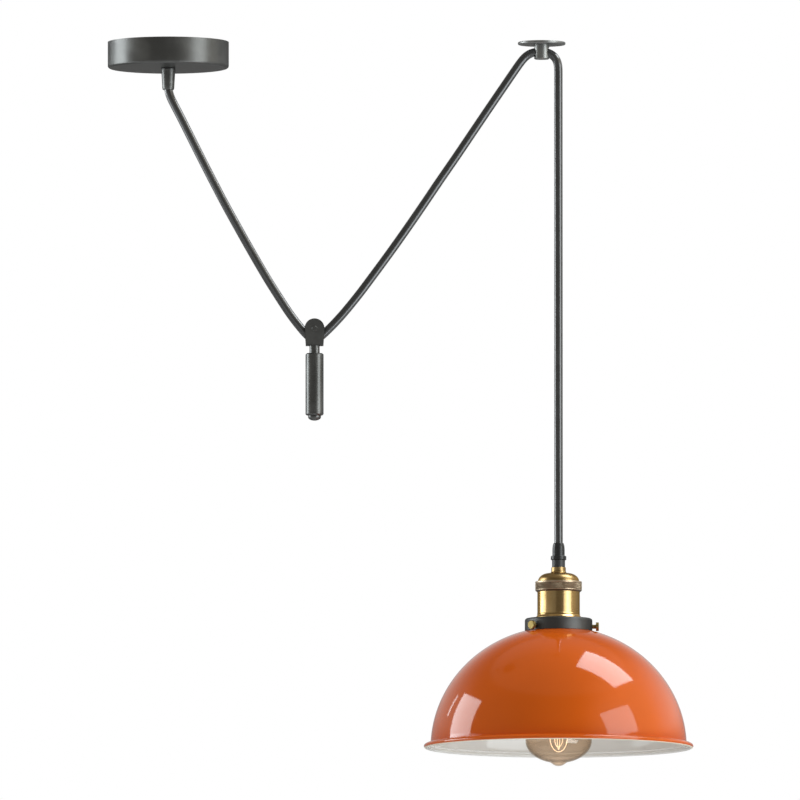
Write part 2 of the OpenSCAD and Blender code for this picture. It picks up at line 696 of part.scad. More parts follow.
// Plain sleeve between the fork and the weight.
module weight_neck() {
    color(GUNMETAL) translate([wheel_x, 0, 0]) difference() {
        post(neck_d / 2, neck_bottom, fork_base_bottom);
        post(tie_d / 2 + tie_clear, neck_bottom - 1, fork_base_bottom + 1);
    }
}

// Turned steel weight, bored through and bevelled at both ends.
module counterweight() {
    r = weight_d / 2;
    bore_r = tie_d / 2 + tie_clear;
    color(GUNMETAL) turned([
        [bore_r, weight_bottom], [r - weight_bevel, weight_bottom], [r, weight_bottom + weight_bevel],
        [r, neck_bottom - weight_bevel], [r - weight_bevel, neck_bottom], [bore_r, neck_bottom]
    ], wheel_x);
}

// Countersunk bolt from the fork's base down through the neck and the weight.
module tie_bolt() {
    head_h = fork_base_t * 0.8 - 0.1;
    head_top = fork_base_top - 0.1;
    color(ZINC) turned([
        [0, tie_end], [tie_d / 2, tie_end], [tie_d / 2, head_top - head_h], [tie_head_r, head_top], [0, head_top]
    ], wheel_x, facets = SMALL);
}

// Domed blind nut that closes the stack.
module domed_nut() {
    r = dome_nut_d / 2;
    waist = 1.8; // height of the nut's straight side
    thread_r = tie_d / 2 + seat_gap;
    color(GUNMETAL) turned(concat(
        [[thread_r, weight_bottom], [r - 0.5, weight_bottom], [r, weight_bottom - 0.5]],
        arc(0, weight_bottom - waist, r, 0, -90, 10, dome_nut_h - waist),
        [[0, tie_end - 0.2], [thread_r, tie_end - 0.2]]
    ), wheel_x, facets = SMALL);
}

// --- Lampholder -------------------------------------------------------------------------------

// Tapered cap of the cord grip, with its collar.
module grip_cap() {
    bore_r = grip_bore_d / 2;
    round_r = 0.7;
    recess_r = spigot_r + screw_gap;
    top = [grip_top_d / 2, -holder_drop];
    low = [grip_low_d / 2, -holder_drop - grip_round_h];
    color(BLACK) turned(concat(
        [[bore_r, -holder_drop]],
        curve(top, top + [0.5, 0], low + [0, grip_round_h * 0.6], low, 8),
        [[grip_low_d / 2, grip_collar_z]],
        arc(grip_collar_d / 2 - round_r, grip_collar_z - round_r, round_r, 90, 0, 4),
        arc(grip_collar_d / 2 - round_r, grip_base_z + round_r, round_r, 0, -90, 4),
        [[recess_r, grip_base_z], [recess_r, grip_collar_z - 1], [bore_r, grip_collar_z - 1]]
    ), fall_x, facets = SMALL);
}

// Base of the cord grip: a spigot up into its cap and another down into the brass neck.
module grip_base() {
    bore_r = grip_bore_d / 2;
    upper_top = grip_collar_z - 1 - seat_gap;
    color(BLACK) turned([
        [bore_r, upper_top], [spigot_r, upper_top], [spigot_r, grip_base_z - seat_gap],
        [grip_base_d / 2, grip_base_z - seat_gap], [grip_base_d / 2, cap_top_z],
        [spigot_r, cap_top_z], [spigot_r, spigot_end_z], [bore_r, spigot_end_z]
    ], fall_x, facets = SMALL);
}

// Domed brass cap with a short neck; its rim steps out inside the knurled ring.
module holder_cap() {
    w = brass_wall;
    neck_r = cap_neck_d / 2;
    dome_x = neck_r + cap_fillet_r; // where the neck's fillet meets the dome
    dome_rise = cap_dome_h - cap_fillet_r * 0.72;
    rim_step = 0.6; // how far the rim steps out from the dome
    dome_reach = body_r - rim_step - dome_x;
    fillet = [neck_r, dome_top_z + cap_fillet_r * 0.28];
    crown = [dome_x, ring_top_z + dome_rise];
    color(BRASS) turned(concat(
        [[neck_bore_r, cap_top_z], [neck_r - 0.3, cap_top_z], [neck_r, cap_top_z - 0.3]],
        curve(fillet, fillet - [0, cap_fillet_r * 0.6], crown - [cap_fillet_r * 0.6, 0], crown, 5),
        arc(dome_x, ring_top_z, dome_reach, 90, 0, 12, dome_rise),
        [[body_r, ring_top_z - 0.4], [body_r, cap_rim_z], [body_r - rim_step - w, cap_rim_z]],
        arc(dome_x, ring_top_z, dome_reach - w, 0, 90, 12, dome_rise - w),
        [[neck_bore_r, ring_top_z + dome_rise - w]]
    ), fall_x);
}

// Ring that screws the cap to the body: a band for the knurl between two plain beads.
module knurled_ring() {
    r = ring_d / 2;
    band_r = r - 0.4;
    bore_r = body_r + screw_gap;
    round_r = 1.1; // rounding of the upper edge
    lower_edge = min(ring_bevel, r - bore_r - 0.3);
    color(BRASS) turned(concat(
        [[bore_r, ring_bottom_z], [r - lower_edge, ring_bottom_z], [r, ring_bottom_z + lower_edge]],
        [[r, ring_bottom_z + ring_bead_h + 0.4], [band_r, ring_bottom_z + ring_bead_h + 0.8]],
        [[band_r, ring_top_z - ring_bead_h], [r, ring_top_z - ring_bead_h + 0.4]],
        arc(r - round_r, ring_top_z - round_r, round_r, 0, 90, 5),
        [[bore_r, ring_top_z]]
    ), fall_x);
}

// Brass tube with a rolled line above its flared foot.
module holder_body() {
    w = brass_wall;
    top = cap_rim_z - screw_gap;
    foot_r = foot_d / 2;
    edge = [foot_r, foot_z + 0.9];
    flare = [body_r, foot_top_z - 0.6];
    color(BRASS) turned(concat(
        [[body_r - w, foot_z], [foot_r - 0.3, foot_z], [foot_r, foot_z + 0.4]],
        curve(edge, edge + [-0.5, 0.9], flare - [0, 0.9], flare, 6),
        [[body_r + 0.3, foot_top_z - 0.2], [body_r + 0.3, foot_top_z + 0.2], [body_r, foot_top_z + 0.6]],
        [[body_r, top], [body_r - w, top]]
    ), fall_x);
}

// Moulded insulating core: a floor above the cavity for the bulb, and a skirt with an outer thread.
module socket_core() {
    color(BLACK) translate([fall_x, 0, 0]) difference() {
        union() {
            post(core_r, skirt_end_z, core_top_z, FINE);
            post(core_r * 0.5, core_top_z, core_top_z + 4);
        }
        post(core_cavity_r, skirt_end_z - 1, cavity_top_z, FINE);
        for (side = [-1, 1]) translate([side * core_r * 0.62, 0, 0]) post(2.2, core_top_z - 9, core_top_z + 1);
    }
}

// Thin metal shell that takes the bulb's thread.
module thread_shell() {
    color("peru") translate([fall_x, 0, 0]) difference() {
        post(shell_r, skirt_end_z + 1.5, cavity_top_z - 1, FINE);
        post(thread_d / 2, skirt_end_z + 1, cavity_top_z, FINE);
    }
}

// Sprung tongue under the cavity's floor that meets the bulb's contact.
module centre_contact() {
    tongue_t = 0.4;
    root = [core_cavity_r - 4, cavity_top_z - 0.05];
    tip = [-2, bulb_top_z + contact_gap];
    color("peru") translate([fall_x, 2.5, 0]) rotate([90, 0, 0]) linear_extrude(5) polygon([
        root, root - [3, 0], tip + [0, tongue_t], tip + [-2, 0.6 + tongue_t],
        tip + [-2, 0.6], tip, root - [3, tongue_t], root - [0, tongue_t]
    ]);
}

// --- Gallery and shade ------------------------------------------------------------------------

module thumb_axis(i) {
    translate([fall_x, 0, thumb_z]) rotate([0, 0, THUMB_ANGLES[i]]) rotate([0, 90, 0]) children();
}

// Pressed cup that hangs from the lampholder and takes the shade's neck, tapped for three screws.
module gallery() {
    w = gallery_wall;
    edge_x = gallery_r - gallery_edge_r;
    edge_z = gallery_z - gallery_edge_r;
    hole_r = core_r + 2 * screw_gap;
    color(BLACK) difference() {
        turned(concat(
            [[hole_r, gallery_z]],
            arc(edge_x, edge_z, gallery_edge_r, 90, 0, 6),
            [[gallery_r, gallery_bottom_z], [gallery_r - w, gallery_bottom_z]],
            arc(edge_x, edge_z, gallery_edge_r - w, 0, 90, 6),
            [[hole_r, gallery_z - w]]
        ), fall_x);
        for (i = [0:2]) thumb_axis(i) cylinder(h = gallery_d, r = thumb_d / 2 + seat_gap, $fn = SMALL);
    }
}

// Round nut on the holder's skirt that clamps the gallery from below.
module gallery_nut() {
    color(BLACK) translate([fall_x, 0, 0]) difference() {
        post(gallery_nut_d / 2, gallery_nut_z - gallery_nut_h, gallery_nut_z, FINE);
        post(core_r + screw_gap, gallery_nut_z - gallery_nut_h - 1, gallery_nut_z + 1, FINE);
        for (a = [0:30:330]) rotate([0, 0, a]) translate([gallery_nut_d / 2 + 1.2, 0, 0])
            post(2.2, gallery_nut_z - gallery_nut_h - 1, gallery_nut_z - 1.5);
    }
}

// One thumb screw: a shank with a broad flat head.
module thumb_screw(i) {
    tip = shade_neck_r + thumb_tip_gap;
    head = gallery_r + thumb_reach;
    color(BRASS) thumb_axis(i) {
        translate([0, 0, tip]) cylinder(h = head - tip, d = thumb_d, $fn = SMALL);
        translate([0, 0, head]) {
            cylinder(h = thumb_head_t - 0.4, d = thumb_head_d, $fn = SMALL);
            translate([0, 0, thumb_head_t - 0.4])
                cylinder(h = 0.4, d1 = thumb_head_d, d2 = thumb_head_d - 0.8, $fn = SMALL);
        }
    }
}
module thumb_screw_1() { thumb_screw(0); }
module thumb_screw_2() { thumb_screw(1); }
module thumb_screw_3() { thumb_screw(2); }

// Spun dome of half-ellipse section, with a beaded neck and a flared rim that ends in a rolled edge.
module shade() {
    w = shade_wall;
    top_angle = acos(shade_neck_r / dome_r);
    flare_angle = asin(flare_level / dome_h);
    inner_top_angle = acos((shade_neck_r - w) / (dome_r - w));
    inner_flare_angle = asin(flare_level / (dome_h - w));
    bead_z = shade_neck_top_z - neck_bead_h;
    flare = [flare_r, flare_z];
    inner_flare = [flare_r - w, flare_z - w];
    roll = arc(roll_centre_r, roll_centre_z, rim_roll_r, 45, -215, 16);
    roll_in = roll[len(roll) - 1];
    color(ENAMEL_ORANGE) turned(concat(
        [[shade_neck_r - w, shade_neck_top_z], [shade_neck_r + neck_bead, shade_neck_top_z]],
        [[shade_neck_r + neck_bead, bead_z], [shade_neck_r, bead_z - 0.4]],
        arc(0, dome_centre_z, dome_r, top_angle, flare_angle, 30, dome_h),
        curve(flare, flare + [2, 0], roll[0] + [-1.4, 1.4], roll[0], 8),
        roll,
        curve(roll_in, roll_in + [-0.1, 0.6], inner_flare + [2, -0.1], inner_flare, 6),
        arc(0, dome_centre_z, dome_r - w, inner_flare_angle, inner_top_angle, 30, dome_h - w)
    ), fall_x, facets = 160);
}

// --- Bulb -------------------------------------------------------------------------------------

// Outline of the glass from its neck to its tip, set in by the given thickness.
function glass_outline(inset) =
    let (
        wide_r = bulb_d / 2 - inset,
        low_h = bulb_wide_z - bulb_round_z - inset,
        tip_r = 9 - inset,
        join_angle = -acos(tip_r / wide_r),
        join = [tip_r, bulb_wide_z + low_h * sin(join_angle)],
        tip = [0, bulb_tip_z + inset],
        collar = [neck_r - inset, cap_shell_end_z - 2],
        wide = [wide_r, bulb_wide_z]
    )
    concat(
        [[neck_r - inset, glass_neck_top_z]],
        curve(collar, collar + [1.5, -26], wide + [0, 32], wide, 18),
        arc(0, bulb_wide_z, wide_r, -6, join_angle, 12, low_h),
        curve(join, join + [-2.2, -0.5], tip + [5.2, 0], tip, 8)
    );

// Blown glass envelope with a drawn tip.
module bulb_glass() {
    outer = glass_outline(0);
    inner = glass_outline(glass_t);
    color(GLASS_AMBER) turned(concat(
        outer, [for (i = [len(inner) - 1:-1:0]) inner[i]]
    ), fall_x);
}

// Pressed metal cap of the bulb, with its insulating shoulder above.
module bulb_cap() {
    cap_r = lamp_cap_d / 2;
    wall = 0.3;
    color(ZINC) turned([
        [5, cap_shell_top_z + 2.4], [9, cap_shell_top_z + 1], [cap_r, cap_shell_top_z - 1.5],
        [cap_r, cap_shell_end_z + 1], [cap_r + 0.2, cap_shell_end_z], [neck_r + seat_gap, cap_shell_end_z],
        [neck_r + seat_gap, cap_shell_top_z - 3], [8, cap_shell_top_z - wall], [5, cap_shell_top_z + 1.6]
    ], fall_x);
}

// Solder contact at the end of the bulb.
module bulb_contact() {
    color("silver") translate([fall_x, 0, 0]) post(4.8, cap_shell_top_z + 1.7, bulb_top_z);
}

// Glass stem: a flare in the neck, a rod and a button that holds the filament.
module bulb_stem() {
    foot_r = neck_r - glass_t - 0.3;
    color(GLASS_AMBER) turned(concat(
        [[0, glass_neck_top_z - 4], [foot_r, glass_neck_top_z - 4], [foot_r, glass_neck_top_z - 6]],
        curve(
            [foot_r, glass_neck_top_z - 6], [foot_r - 4, glass_neck_top_z - 9],
            [4.5, glass_neck_top_z - 14], [4, stem_press_z + 3], 8
        ),
        [[4, stem_press_z], [rod_r, stem_press_z], [rod_r, button_z + 3]],
        [[button_r, button_z + 2], [button_r, button_z - 2], [rod_r, button_z - 3]],
        [[rod_r, rod_end_z], [0, rod_end_z - 1]]
    ), fall_x, facets = SMALL);
}

// Two lead wires from the stem to the filament's button.
module lead_wires() {
    top_z = stem_press_z - 0.05;
    wire_r = filament_d / 2 + 0.1;
    color("silver") for (side = [-1, 1])
        tube([
            [fall_x + side * 2.4, 0, top_z], [fall_x + side * 2.9, 0, top_z - 8],
            [fall_x + side * 4.4, 0, button_z + 10], [fall_x + side * 4.6, 0, button_z - 0.8]
        ], wire_r, 8);
}

// One hairpin loop in a vertical plane: two legs from the button that close in a round bottom.
function loop_route(half_w, bottom) =
    let (
        turn_z = bottom + half_w * 1.5,
        root = button_r + filament_d / 2 + 0.05,
        leg = [[root, button_z + 1.5], [root, button_z - 3], [half_w * 0.8, button_z - 8], [half_w, turn_z + 3]]
    )
    concat(
        [for (p = leg) [-p[0], 0, p[1]]],
        [for (p = arc(0, turn_z, half_w, 180, 360, 12, half_w * 1.5)) [p[0], 0, p[1]]],
        [for (i = [3:-1:0]) [leg[i][0], 0, leg[i][1]]]
    );

// Three nested hairpin loops, each turned from the next.
module filament() {
    color("orange") translate([fall_x, 0, 0]) for (i = [0:2]) rotate([0, 0, 20 + 60 * i])
        tube(loop_route(loop_r - 2 * i, loop_bottom_z + loop_step * i), filament_d / 2, 6);
}

ceiling_rose();
mounting_strap();
rose_side_screws();
terminal_block();
terminal_screws();
rose_grip();
rose_grip_nut();
rose_grip_screw();
live_core();
neutral_core();
earth_core();
earth_screw();
guide_flange();
guide_boss();
cable_left_run();
cable_right_run();
cable_fall();
pulley_fork();
fork_axle();
pulley_wheel();
weight_neck();
counterweight();
tie_bolt();
domed_nut();
grip_cap();
grip_base();
holder_cap();
knurled_ring();
holder_body();
socket_core();
thread_shell();
centre_contact();
gallery();
gallery_nut();
shade();
thumb_screw_1();
thumb_screw_2();
thumb_screw_3();
bulb_glass();
bulb_cap();
bulb_contact();
bulb_stem();
lead_wires();
filament();
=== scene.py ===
"""Rise and fall pendant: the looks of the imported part, laid out as an add-on and run as a script."""

from math import acos, asin, cos, pi, radians, sin, sqrt

import bmesh
import bpy
from bpy.props import FloatProperty, FloatVectorProperty, IntProperty, PointerProperty
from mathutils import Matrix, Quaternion, Vector


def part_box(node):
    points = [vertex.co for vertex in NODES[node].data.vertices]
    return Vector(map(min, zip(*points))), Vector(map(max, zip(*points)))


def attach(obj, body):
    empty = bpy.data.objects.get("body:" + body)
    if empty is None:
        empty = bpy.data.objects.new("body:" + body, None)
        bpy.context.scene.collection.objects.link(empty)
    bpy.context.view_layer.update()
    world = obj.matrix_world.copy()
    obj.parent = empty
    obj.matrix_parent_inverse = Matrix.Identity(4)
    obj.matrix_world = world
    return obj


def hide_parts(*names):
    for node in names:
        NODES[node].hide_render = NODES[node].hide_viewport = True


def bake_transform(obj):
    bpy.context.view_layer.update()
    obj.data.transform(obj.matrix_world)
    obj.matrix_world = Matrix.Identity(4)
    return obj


bl_info = {
    "name": "Rise and Fall Pendant",
    "version": (1, 0, 0),
    "blender": (4, 5, 0),
    "location": "View3D > Sidebar > Pendant",
    "description": "Flex, spun shade, brassware, lamp and studio for a rise and fall pendant",
    "category": "Object",
}

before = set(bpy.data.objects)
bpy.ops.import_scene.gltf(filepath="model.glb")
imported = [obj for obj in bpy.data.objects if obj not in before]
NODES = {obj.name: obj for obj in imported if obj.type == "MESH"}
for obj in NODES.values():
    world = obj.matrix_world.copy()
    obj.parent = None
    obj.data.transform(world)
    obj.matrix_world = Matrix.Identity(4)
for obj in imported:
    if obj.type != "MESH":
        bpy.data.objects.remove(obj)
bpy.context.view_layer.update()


def middle(node):
    """Centre of a CAD node's box, in metres."""
    low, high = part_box(node)
    return (low + high) / 2


ROSE_AXIS = middle("ceiling_rose")
GUIDE_AXIS = middle("guide_flange")
WEIGHT_AXIS = middle("counterweight")
HOLDER_AXIS = middle("holder_body")

PICTURE_MIDDLE = Vector((0.2296, 0.0, -0.3558))  # the point that the camera looks at, in metres
LIGHT_AIM_LEVEL = -0.66  # level of the point on the holder's axis that every light faces, in metres
LIGHT_COLOUR = (0.93, 1.0, 1.04)
WHITE = (1, 1, 1)

# The flex's centreline in the XZ plane, in metres.
LEFT_ROUTE = [
    (0, -0.0158), (0, -0.024), (0, -0.036), (0, -0.046), (0.0006, -0.0505), (0.0023, -0.055),
    (0.005, -0.0605), (0.012, -0.074), (0.022, -0.094), (0.033, -0.116), (0.045, -0.1395), (0.057, -0.1625),
    (0.0705, -0.187), (0.084, -0.211), (0.098, -0.235), (0.108, -0.251), (0.118, -0.2665), (0.124, -0.275),
    (0.1295, -0.282), (0.134, -0.2875), (0.1375, -0.2915), (0.14, -0.2936), (0.1423, -0.2947),
    (0.1446, -0.2951), (0.145, -0.2951),
]
RIGHT_ROUTE = [
    (0.145, -0.2951), (0.1463, -0.2951), (0.148, -0.2946), (0.15, -0.2936), (0.1524, -0.2918),
    (0.1555, -0.2888), (0.1615, -0.283), (0.169, -0.275), (0.176, -0.267), (0.1885, -0.2515),
    (0.2005, -0.2355), (0.2185, -0.211), (0.2355, -0.187), (0.252, -0.163), (0.2685, -0.1385),
    (0.285, -0.1145), (0.3015, -0.09), (0.318, -0.0655), (0.334, -0.042), (0.346, -0.0244),
    (0.3508, -0.0178), (0.354, -0.0141), (0.3574, -0.0117), (0.3614, -0.0101), (0.3656, -0.0096),
    (0.37, -0.0096),
]
FALL_ROUTE = [
    (0.37, -0.0096), (0.3722, -0.0096), (0.3766, -0.0103), (0.3806, -0.0123), (0.3838, -0.0155),
    (0.3858, -0.0195), (0.3865, -0.024), (0.3865, -0.036), (0.3865, -0.06), (0.3865, -0.1), (0.3865, -0.15),
    (0.3865, -0.2), (0.3865, -0.25), (0.3865, -0.3), (0.3865, -0.35), (0.3865, -0.4), (0.3865, -0.45),
    (0.3865, -0.49), (0.3865, -0.514), (0.3865, -0.528),
]


# --- Sizes and colours that a user may change -------------------------------------------------


def length(name, description, default):
    return FloatProperty(
        name=name, description=description, default=default, min=0.0, unit="LENGTH", precision=5,
    )


def colour(name, description, default):
    return FloatVectorProperty(
        name=name, description=description, default=default, min=0.0, max=1.0, subtype="COLOR",
    )


class PendantFlex(bpy.types.PropertyGroup):
    diameter: length("Flex diameter", "Outside diameter of the round flex", 0.0084)
    sides: IntProperty(name="Sides", description="Faces round the flex", default=28, min=8, max=64)
    step: length("Step", "Distance between rings along the flex", 0.0022)
    sheath: colour("Sheath", "Colour of the flex's satin sheath", (0.044, 0.044, 0.044))


class PendantShade(bpy.types.PropertyGroup):
    dome_height: length("Dome height", "Height of the half ellipse above its widest level", 0.12)
    rim_reach: length("Rim reach", "Reach of the flared rim past the dome", 0.0066)
    wall: length("Wall", "Sheet thickness", 0.001)
    neck_radius: length("Neck radius", "Outside radius of the neck", 0.0275)
    bead: length("Bead", "Reach of the neck's bead", 0.0017)
    flare_level: length("Flare level", "Top of the flare above the widest level", 0.005)
    flare_height: length("Flare height", "Height of the flare", 0.0034)
    roll: length("Roll", "Radius of the rim's rolled edge", 0.0022)
    facets: IntProperty(name="Facets", description="Faces round the shade", default=256, min=48, max=512)
    rings: IntProperty(name="Rings", description="Rings of faces up the dome", default=72, min=12, max=160)
    outside: colour("Outside", "Enamel outside", (0.73, 0.116, 0.006))
    inside: colour("Inside", "Enamel inside", (0.94, 0.90, 0.85))
    edge: colour("Edge", "Bare edge of the enamel on the rim", (0.95, 0.84, 0.66))


class PendantHolder(bpy.types.PropertyGroup):
    knurl_columns: IntProperty(
        name="Knurl columns", description="Diamonds round the ring", default=88, min=24, max=240,
    )
    knurl_rows: IntProperty(
        name="Knurl rows", description="Staggered rows of diamonds", default=8, min=2, max=24,
    )
    knurl_height: length("Knurl height", "Height of one diamond", 0.00042)
    bead_width: length("Bead width", "Width of the plain bead at each edge of the ring", 0.0016)
    bevel: length("Bevel", "Bevel at the ring's lower edge", 0.0016)
    brass: colour("Brass", "Polished aged brass", (0.66, 0.45, 0.205))
    knurl_brass: colour("Knurl brass", "Browner brass of the knurled ring", (0.68, 0.53, 0.36))
    screw_brass: colour("Screw brass", "Yellow brass of the thumb screws", (0.30, 0.225, 0.085))


class PendantMetal(bpy.types.PropertyGroup):
    gunmetal: colour("Gunmetal", "Satin dark plating", (0.15, 0.15, 0.145))
    gallery: colour("Gallery", "Painted black of the shade holder", (0.10, 0.10, 0.097))


class PendantLamp(bpy.types.PropertyGroup):
    tint: colour("Glass tint", "Colour that each face of the glass lets through", (0.955, 0.880, 0.800))
    glow: colour("Glow", "Colour of the lit filament", (1.0, 0.74, 0.58))
    glow_strength: FloatProperty(
        name="Glow strength", description="Brightness of the filament", default=2.6, min=0.0,
    )


class PendantStage(bpy.types.PropertyGroup):
    lens: FloatProperty(
        name="Lens", description="Focal length of the camera", default=1350.0, min=50.0, unit="CAMERA",
    )
    distance: length("Camera distance", "Camera to the middle of the picture", 29.7)
    tilt: FloatProperty(
        name="Tilt", description="How far the camera looks up", default=radians(4.75), unit="ROTATION",
    )
    floor_level: length("Floor level", "Depth of the floor below the ceiling", 2.56)
    floor: colour("Floor", "Colour of the floor", (0.93, 0.93, 0.92))


GROUPS = {
    "pendant_stage": PendantStage, "pendant_flex": PendantFlex, "pendant_shade": PendantShade,
    "pendant_holder": PendantHolder, "pendant_metal": PendantMetal, "pendant_lamp": PendantLamp,
}


# --- Node trees written as sums ---------------------------------------------------------------


class Wire:
    """An output socket that takes part in Python sums; each sum adds a Math node."""

    def __init__(self, graph, node, output=0):
        self.graph, self.node, self.socket = graph, node, node.outputs[output]

    def output(self, name):
        return Wire(self.graph, self.node, name)

    def __add__(self, other):
        return self.graph.math("ADD", self, other)

    def __sub__(self, other):
        return self.graph.math("SUBTRACT", self, other)

    def __rsub__(self, other):
        return self.graph.math("SUBTRACT", other, self)

    def __mul__(self, other):
        return self.graph.math("MULTIPLY", self, other)

    def __truediv__(self, other):
        return self.graph.math("DIVIDE", self, other)

    def __pow__(self, other):
        return self.graph.math("POWER", self, other)

    __radd__, __rmul__ = __add__, __mul__


class Graph:
    """A shader, world or geometry tree and the few ways in which nodes are added to it."""

    def __init__(self, tree):
        self.tree = tree
        tree.nodes.clear()

    def node(self, kind, settings=None, values=None):
        """Adds a node: its settings first, then the values or wires of its sockets, by name or number."""
        node = self.tree.nodes.new(kind)
        for key, value in (settings or {}).items():
            if key == "stops":
                elements = node.color_ramp.elements
                while len(elements) < len(value):
                    elements.new(0.5)
                for element, (position, shade) in zip(elements, value):
                    element.position, element.color = position, (*shade, 1.0)
            else:
                setattr(node, key, value)
        for key, value in (values or {}).items():
            socket = node.inputs[key]
            if isinstance(value, Wire):
                self.tree.links.new(value.socket, socket)
            elif socket.type == "RGBA" and len(value) == 3:
                socket.default_value = (*value, 1.0)
            else:
                socket.default_value = value
        return Wire(self, node) if node.outputs else node

    def math(self, operation, *operands):
        return self.node("ShaderNodeMath", {"operation": operation}, dict(enumerate(operands)))

    def vector(self, operation, *operands):
        return self.node("ShaderNodeVectorMath", {"operation": operation}, dict(enumerate(operands)))

    def scaled(self, vector, scale):
        return self.node("ShaderNodeVectorMath", {"operation": "SCALE"}, {0: vector, "Scale": scale})

    def join(self, x, y, z):
        return self.node("ShaderNodeCombineXYZ", None, {0: x, 1: y, 2: z})

    def split(self, vector):
        parts = self.node("ShaderNodeSeparateXYZ", None, {0: vector})
        return parts, parts.output(1), parts.output(2)

    def mix(self, factor, a, b, blend="MIX"):
        """Mixes two colours."""
        settings = {"data_type": "RGBA", "blend_type": blend}
        return self.node("ShaderNodeMix", settings, {0: factor, 6: a, 7: b}).output(2)

    def fade(self, value, low, high, start=0.0, end=1.0):
        """Goes smoothly from start to end while value goes from low to high."""
        return self.node("ShaderNodeMapRange", {"interpolation_type": "SMOOTHSTEP"}, {
            "Value": value, "From Min": low, "From Max": high, "To Min": start, "To Max": end,
        })

    def noise(self, vector, scale, detail=2.0, roughness=0.5):
        return self.node("ShaderNodeTexNoise", None, {
            "Vector": vector, "Scale": scale, "Detail": detail, "Roughness": roughness,
        })

    def place(self):
        return self.node("ShaderNodeTexCoord").output("Object")

    def skin(self):
        return self.node("ShaderNodeTexCoord").output("UV")

    def turned(self, centre, along, across):
        """Coordinates round a vertical axis, slow along the turning marks and fast across them."""
        from_axis = self.vector("SUBTRACT", self.place(), tuple(centre))
        flat = self.vector("MULTIPLY", from_axis, (1, 1, 0))
        reach = self.vector("LENGTH", flat).output("Value")
        level = (self.split(from_axis)[2] + reach * 1.7) * across
        return self.vector("ADD", self.scaled(self.vector("NORMALIZE", flat), along), self.join(0, 0, level))

    def bump(self, height, distance, normal=None):
        values = {"Strength": 1.0, "Distance": distance, "Height": height}
        return self.node("ShaderNodeBump", None, {**values, "Normal": normal} if normal else values)

    def surface(self, **values):
        names = {"colour": "Base Color", "ior": "IOR", "specular": "Specular IOR Level"}
        return self.node("ShaderNodeBsdfPrincipled", None, {
            names.get(key, key.replace("_", " ").title()): value for key, value in values.items()
        })


def material(name, paint, *args):
    """A new material whose surface is what paint makes."""
    made = bpy.data.materials.new(name)
    made.use_nodes = True
    graph = Graph(made.node_tree)
    graph.node("ShaderNodeOutputMaterial", None, {"Surface": paint(graph, *args)})
    return made


# --- Finishes ---------------------------------------------------------------------------------


def satin_metal(g, base, centre, roughness=0.34, metallic=0.76, edge=(0.35, 0.35, 0.35, 1.0)):
    """Dark plating over turned metal: soft mottling, fine turning marks, rubbed tone."""
    cloud = g.noise(g.place(), 38.0, 3.0)
    marks = g.noise(g.turned(centre, 1.6, 900.0), 1.0, 2.0)
    pits = g.noise(g.place(), 2600.0, 1.0)
    tone = g.mix(g.fade(cloud, 0.35, 0.7), tuple(c * 0.86 for c in base), tuple(c * 1.14 for c in base))
    return g.surface(
        colour=tone, metallic=metallic, specular_tint=edge,
        roughness=roughness + (cloud - 0.5) * 0.12 + (marks - 0.5) * 0.10,
        normal=g.bump(marks * 0.5 + pits * 0.5, 0.000004),
    )


def sheath(g, base):
    """Satin round flex: a faint lengthwise drawing grain and dull patches from handling."""
    grain = g.noise(g.vector("MULTIPLY", g.skin(), (900.0, 14.0, 1.0)), 1.0, 2.0)
    dull = g.noise(g.place(), 55.0, 3.0)
    tone = g.mix(dull, tuple(c * 0.8 for c in base), tuple(c * 1.25 for c in base))
    return g.surface(
        colour=tone, roughness=g.fade(dull, 0.3, 0.7, 0.15, 0.22), specular=0.7, ior=1.7,
        normal=g.bump(grain * 0.6 + g.noise(g.place(), 1700.0) * 0.4, 0.0000008),
    )


def polished_brass(g, base, centre, roughness=0.15, edge=(0.60, 0.50, 0.35, 1.0)):
    """Aged brass: warm and brown clouds, darker where dirt sits, faint turning marks."""
    cloud = g.noise(g.place(), 60.0, 4.0, 0.6)
    marks = g.noise(g.turned(centre, 1.2, 1500.0), 1.0, 2.0)
    specks = g.fade(g.noise(g.place(), 520.0, 2.0), 0.66, 0.74)
    brown = (base[0] * 0.62, base[1] * 0.52, base[2] * 0.40)
    tone = g.mix(g.fade(cloud, 0.42, 0.72) * 0.5, base, brown)
    tone = g.mix(specks * 0.35, tone, (0.10, 0.06, 0.03))
    return g.surface(
        colour=tone, metallic=1.0, specular_tint=edge, roughness=roughness + cloud * 0.10 + specks * 0.15,
        normal=g.bump(marks, 0.000002),
    )


def knurled_brass(g, base, centre, cut, point, low, high):
    """Browned brass, dark in the cuts and rubbed bright on the points; the beads are lighter still, partly
    rubbed by handling and partly a painted highlight.

    The arguments cut and point are radii from the axis; low and high are the band's levels.
    """
    from_axis = g.vector("MULTIPLY", g.vector("SUBTRACT", g.place(), tuple(centre)), (1, 1, 0))
    reach = g.vector("LENGTH", from_axis).output("Value")
    level = g.split(g.place())[2]
    edge, bead_end, bead_full = 0.0002, 0.0010, 0.0006
    top_bead = g.fade(level, high, high + edge)
    low_bead = g.fade(level, low, low - edge) * g.fade(level, low - bead_end, low - bead_full)
    # The bead masks lift the plain beads' colour as a painted highlight, on top of their rubbed wear; the
    # lower bevel is left out of them.
    bead = top_bead + low_bead
    cloud = g.noise(g.place(), 170.0, 4.0, 0.65)
    # Lightened from the cuts out to the points as rubbed wear, plus the beads' painted highlight; the lower
    # bevel's inner part lies inside the cut radius and is painted dark as shade.
    lightened = g.fade(reach, cut, point) * g.fade(cloud, 0.25, 0.6) * (1.0 - bead * 0.5) + bead * 0.5
    dark = tuple(c * 0.26 for c in base)
    return g.surface(
        colour=g.mix(lightened, dark, base), metallic=0.9,
        roughness=0.42 - lightened * 0.12 + (cloud - 0.5) * 0.2,
        normal=g.bump(g.noise(g.place(), 2400.0), 0.00003),
    )


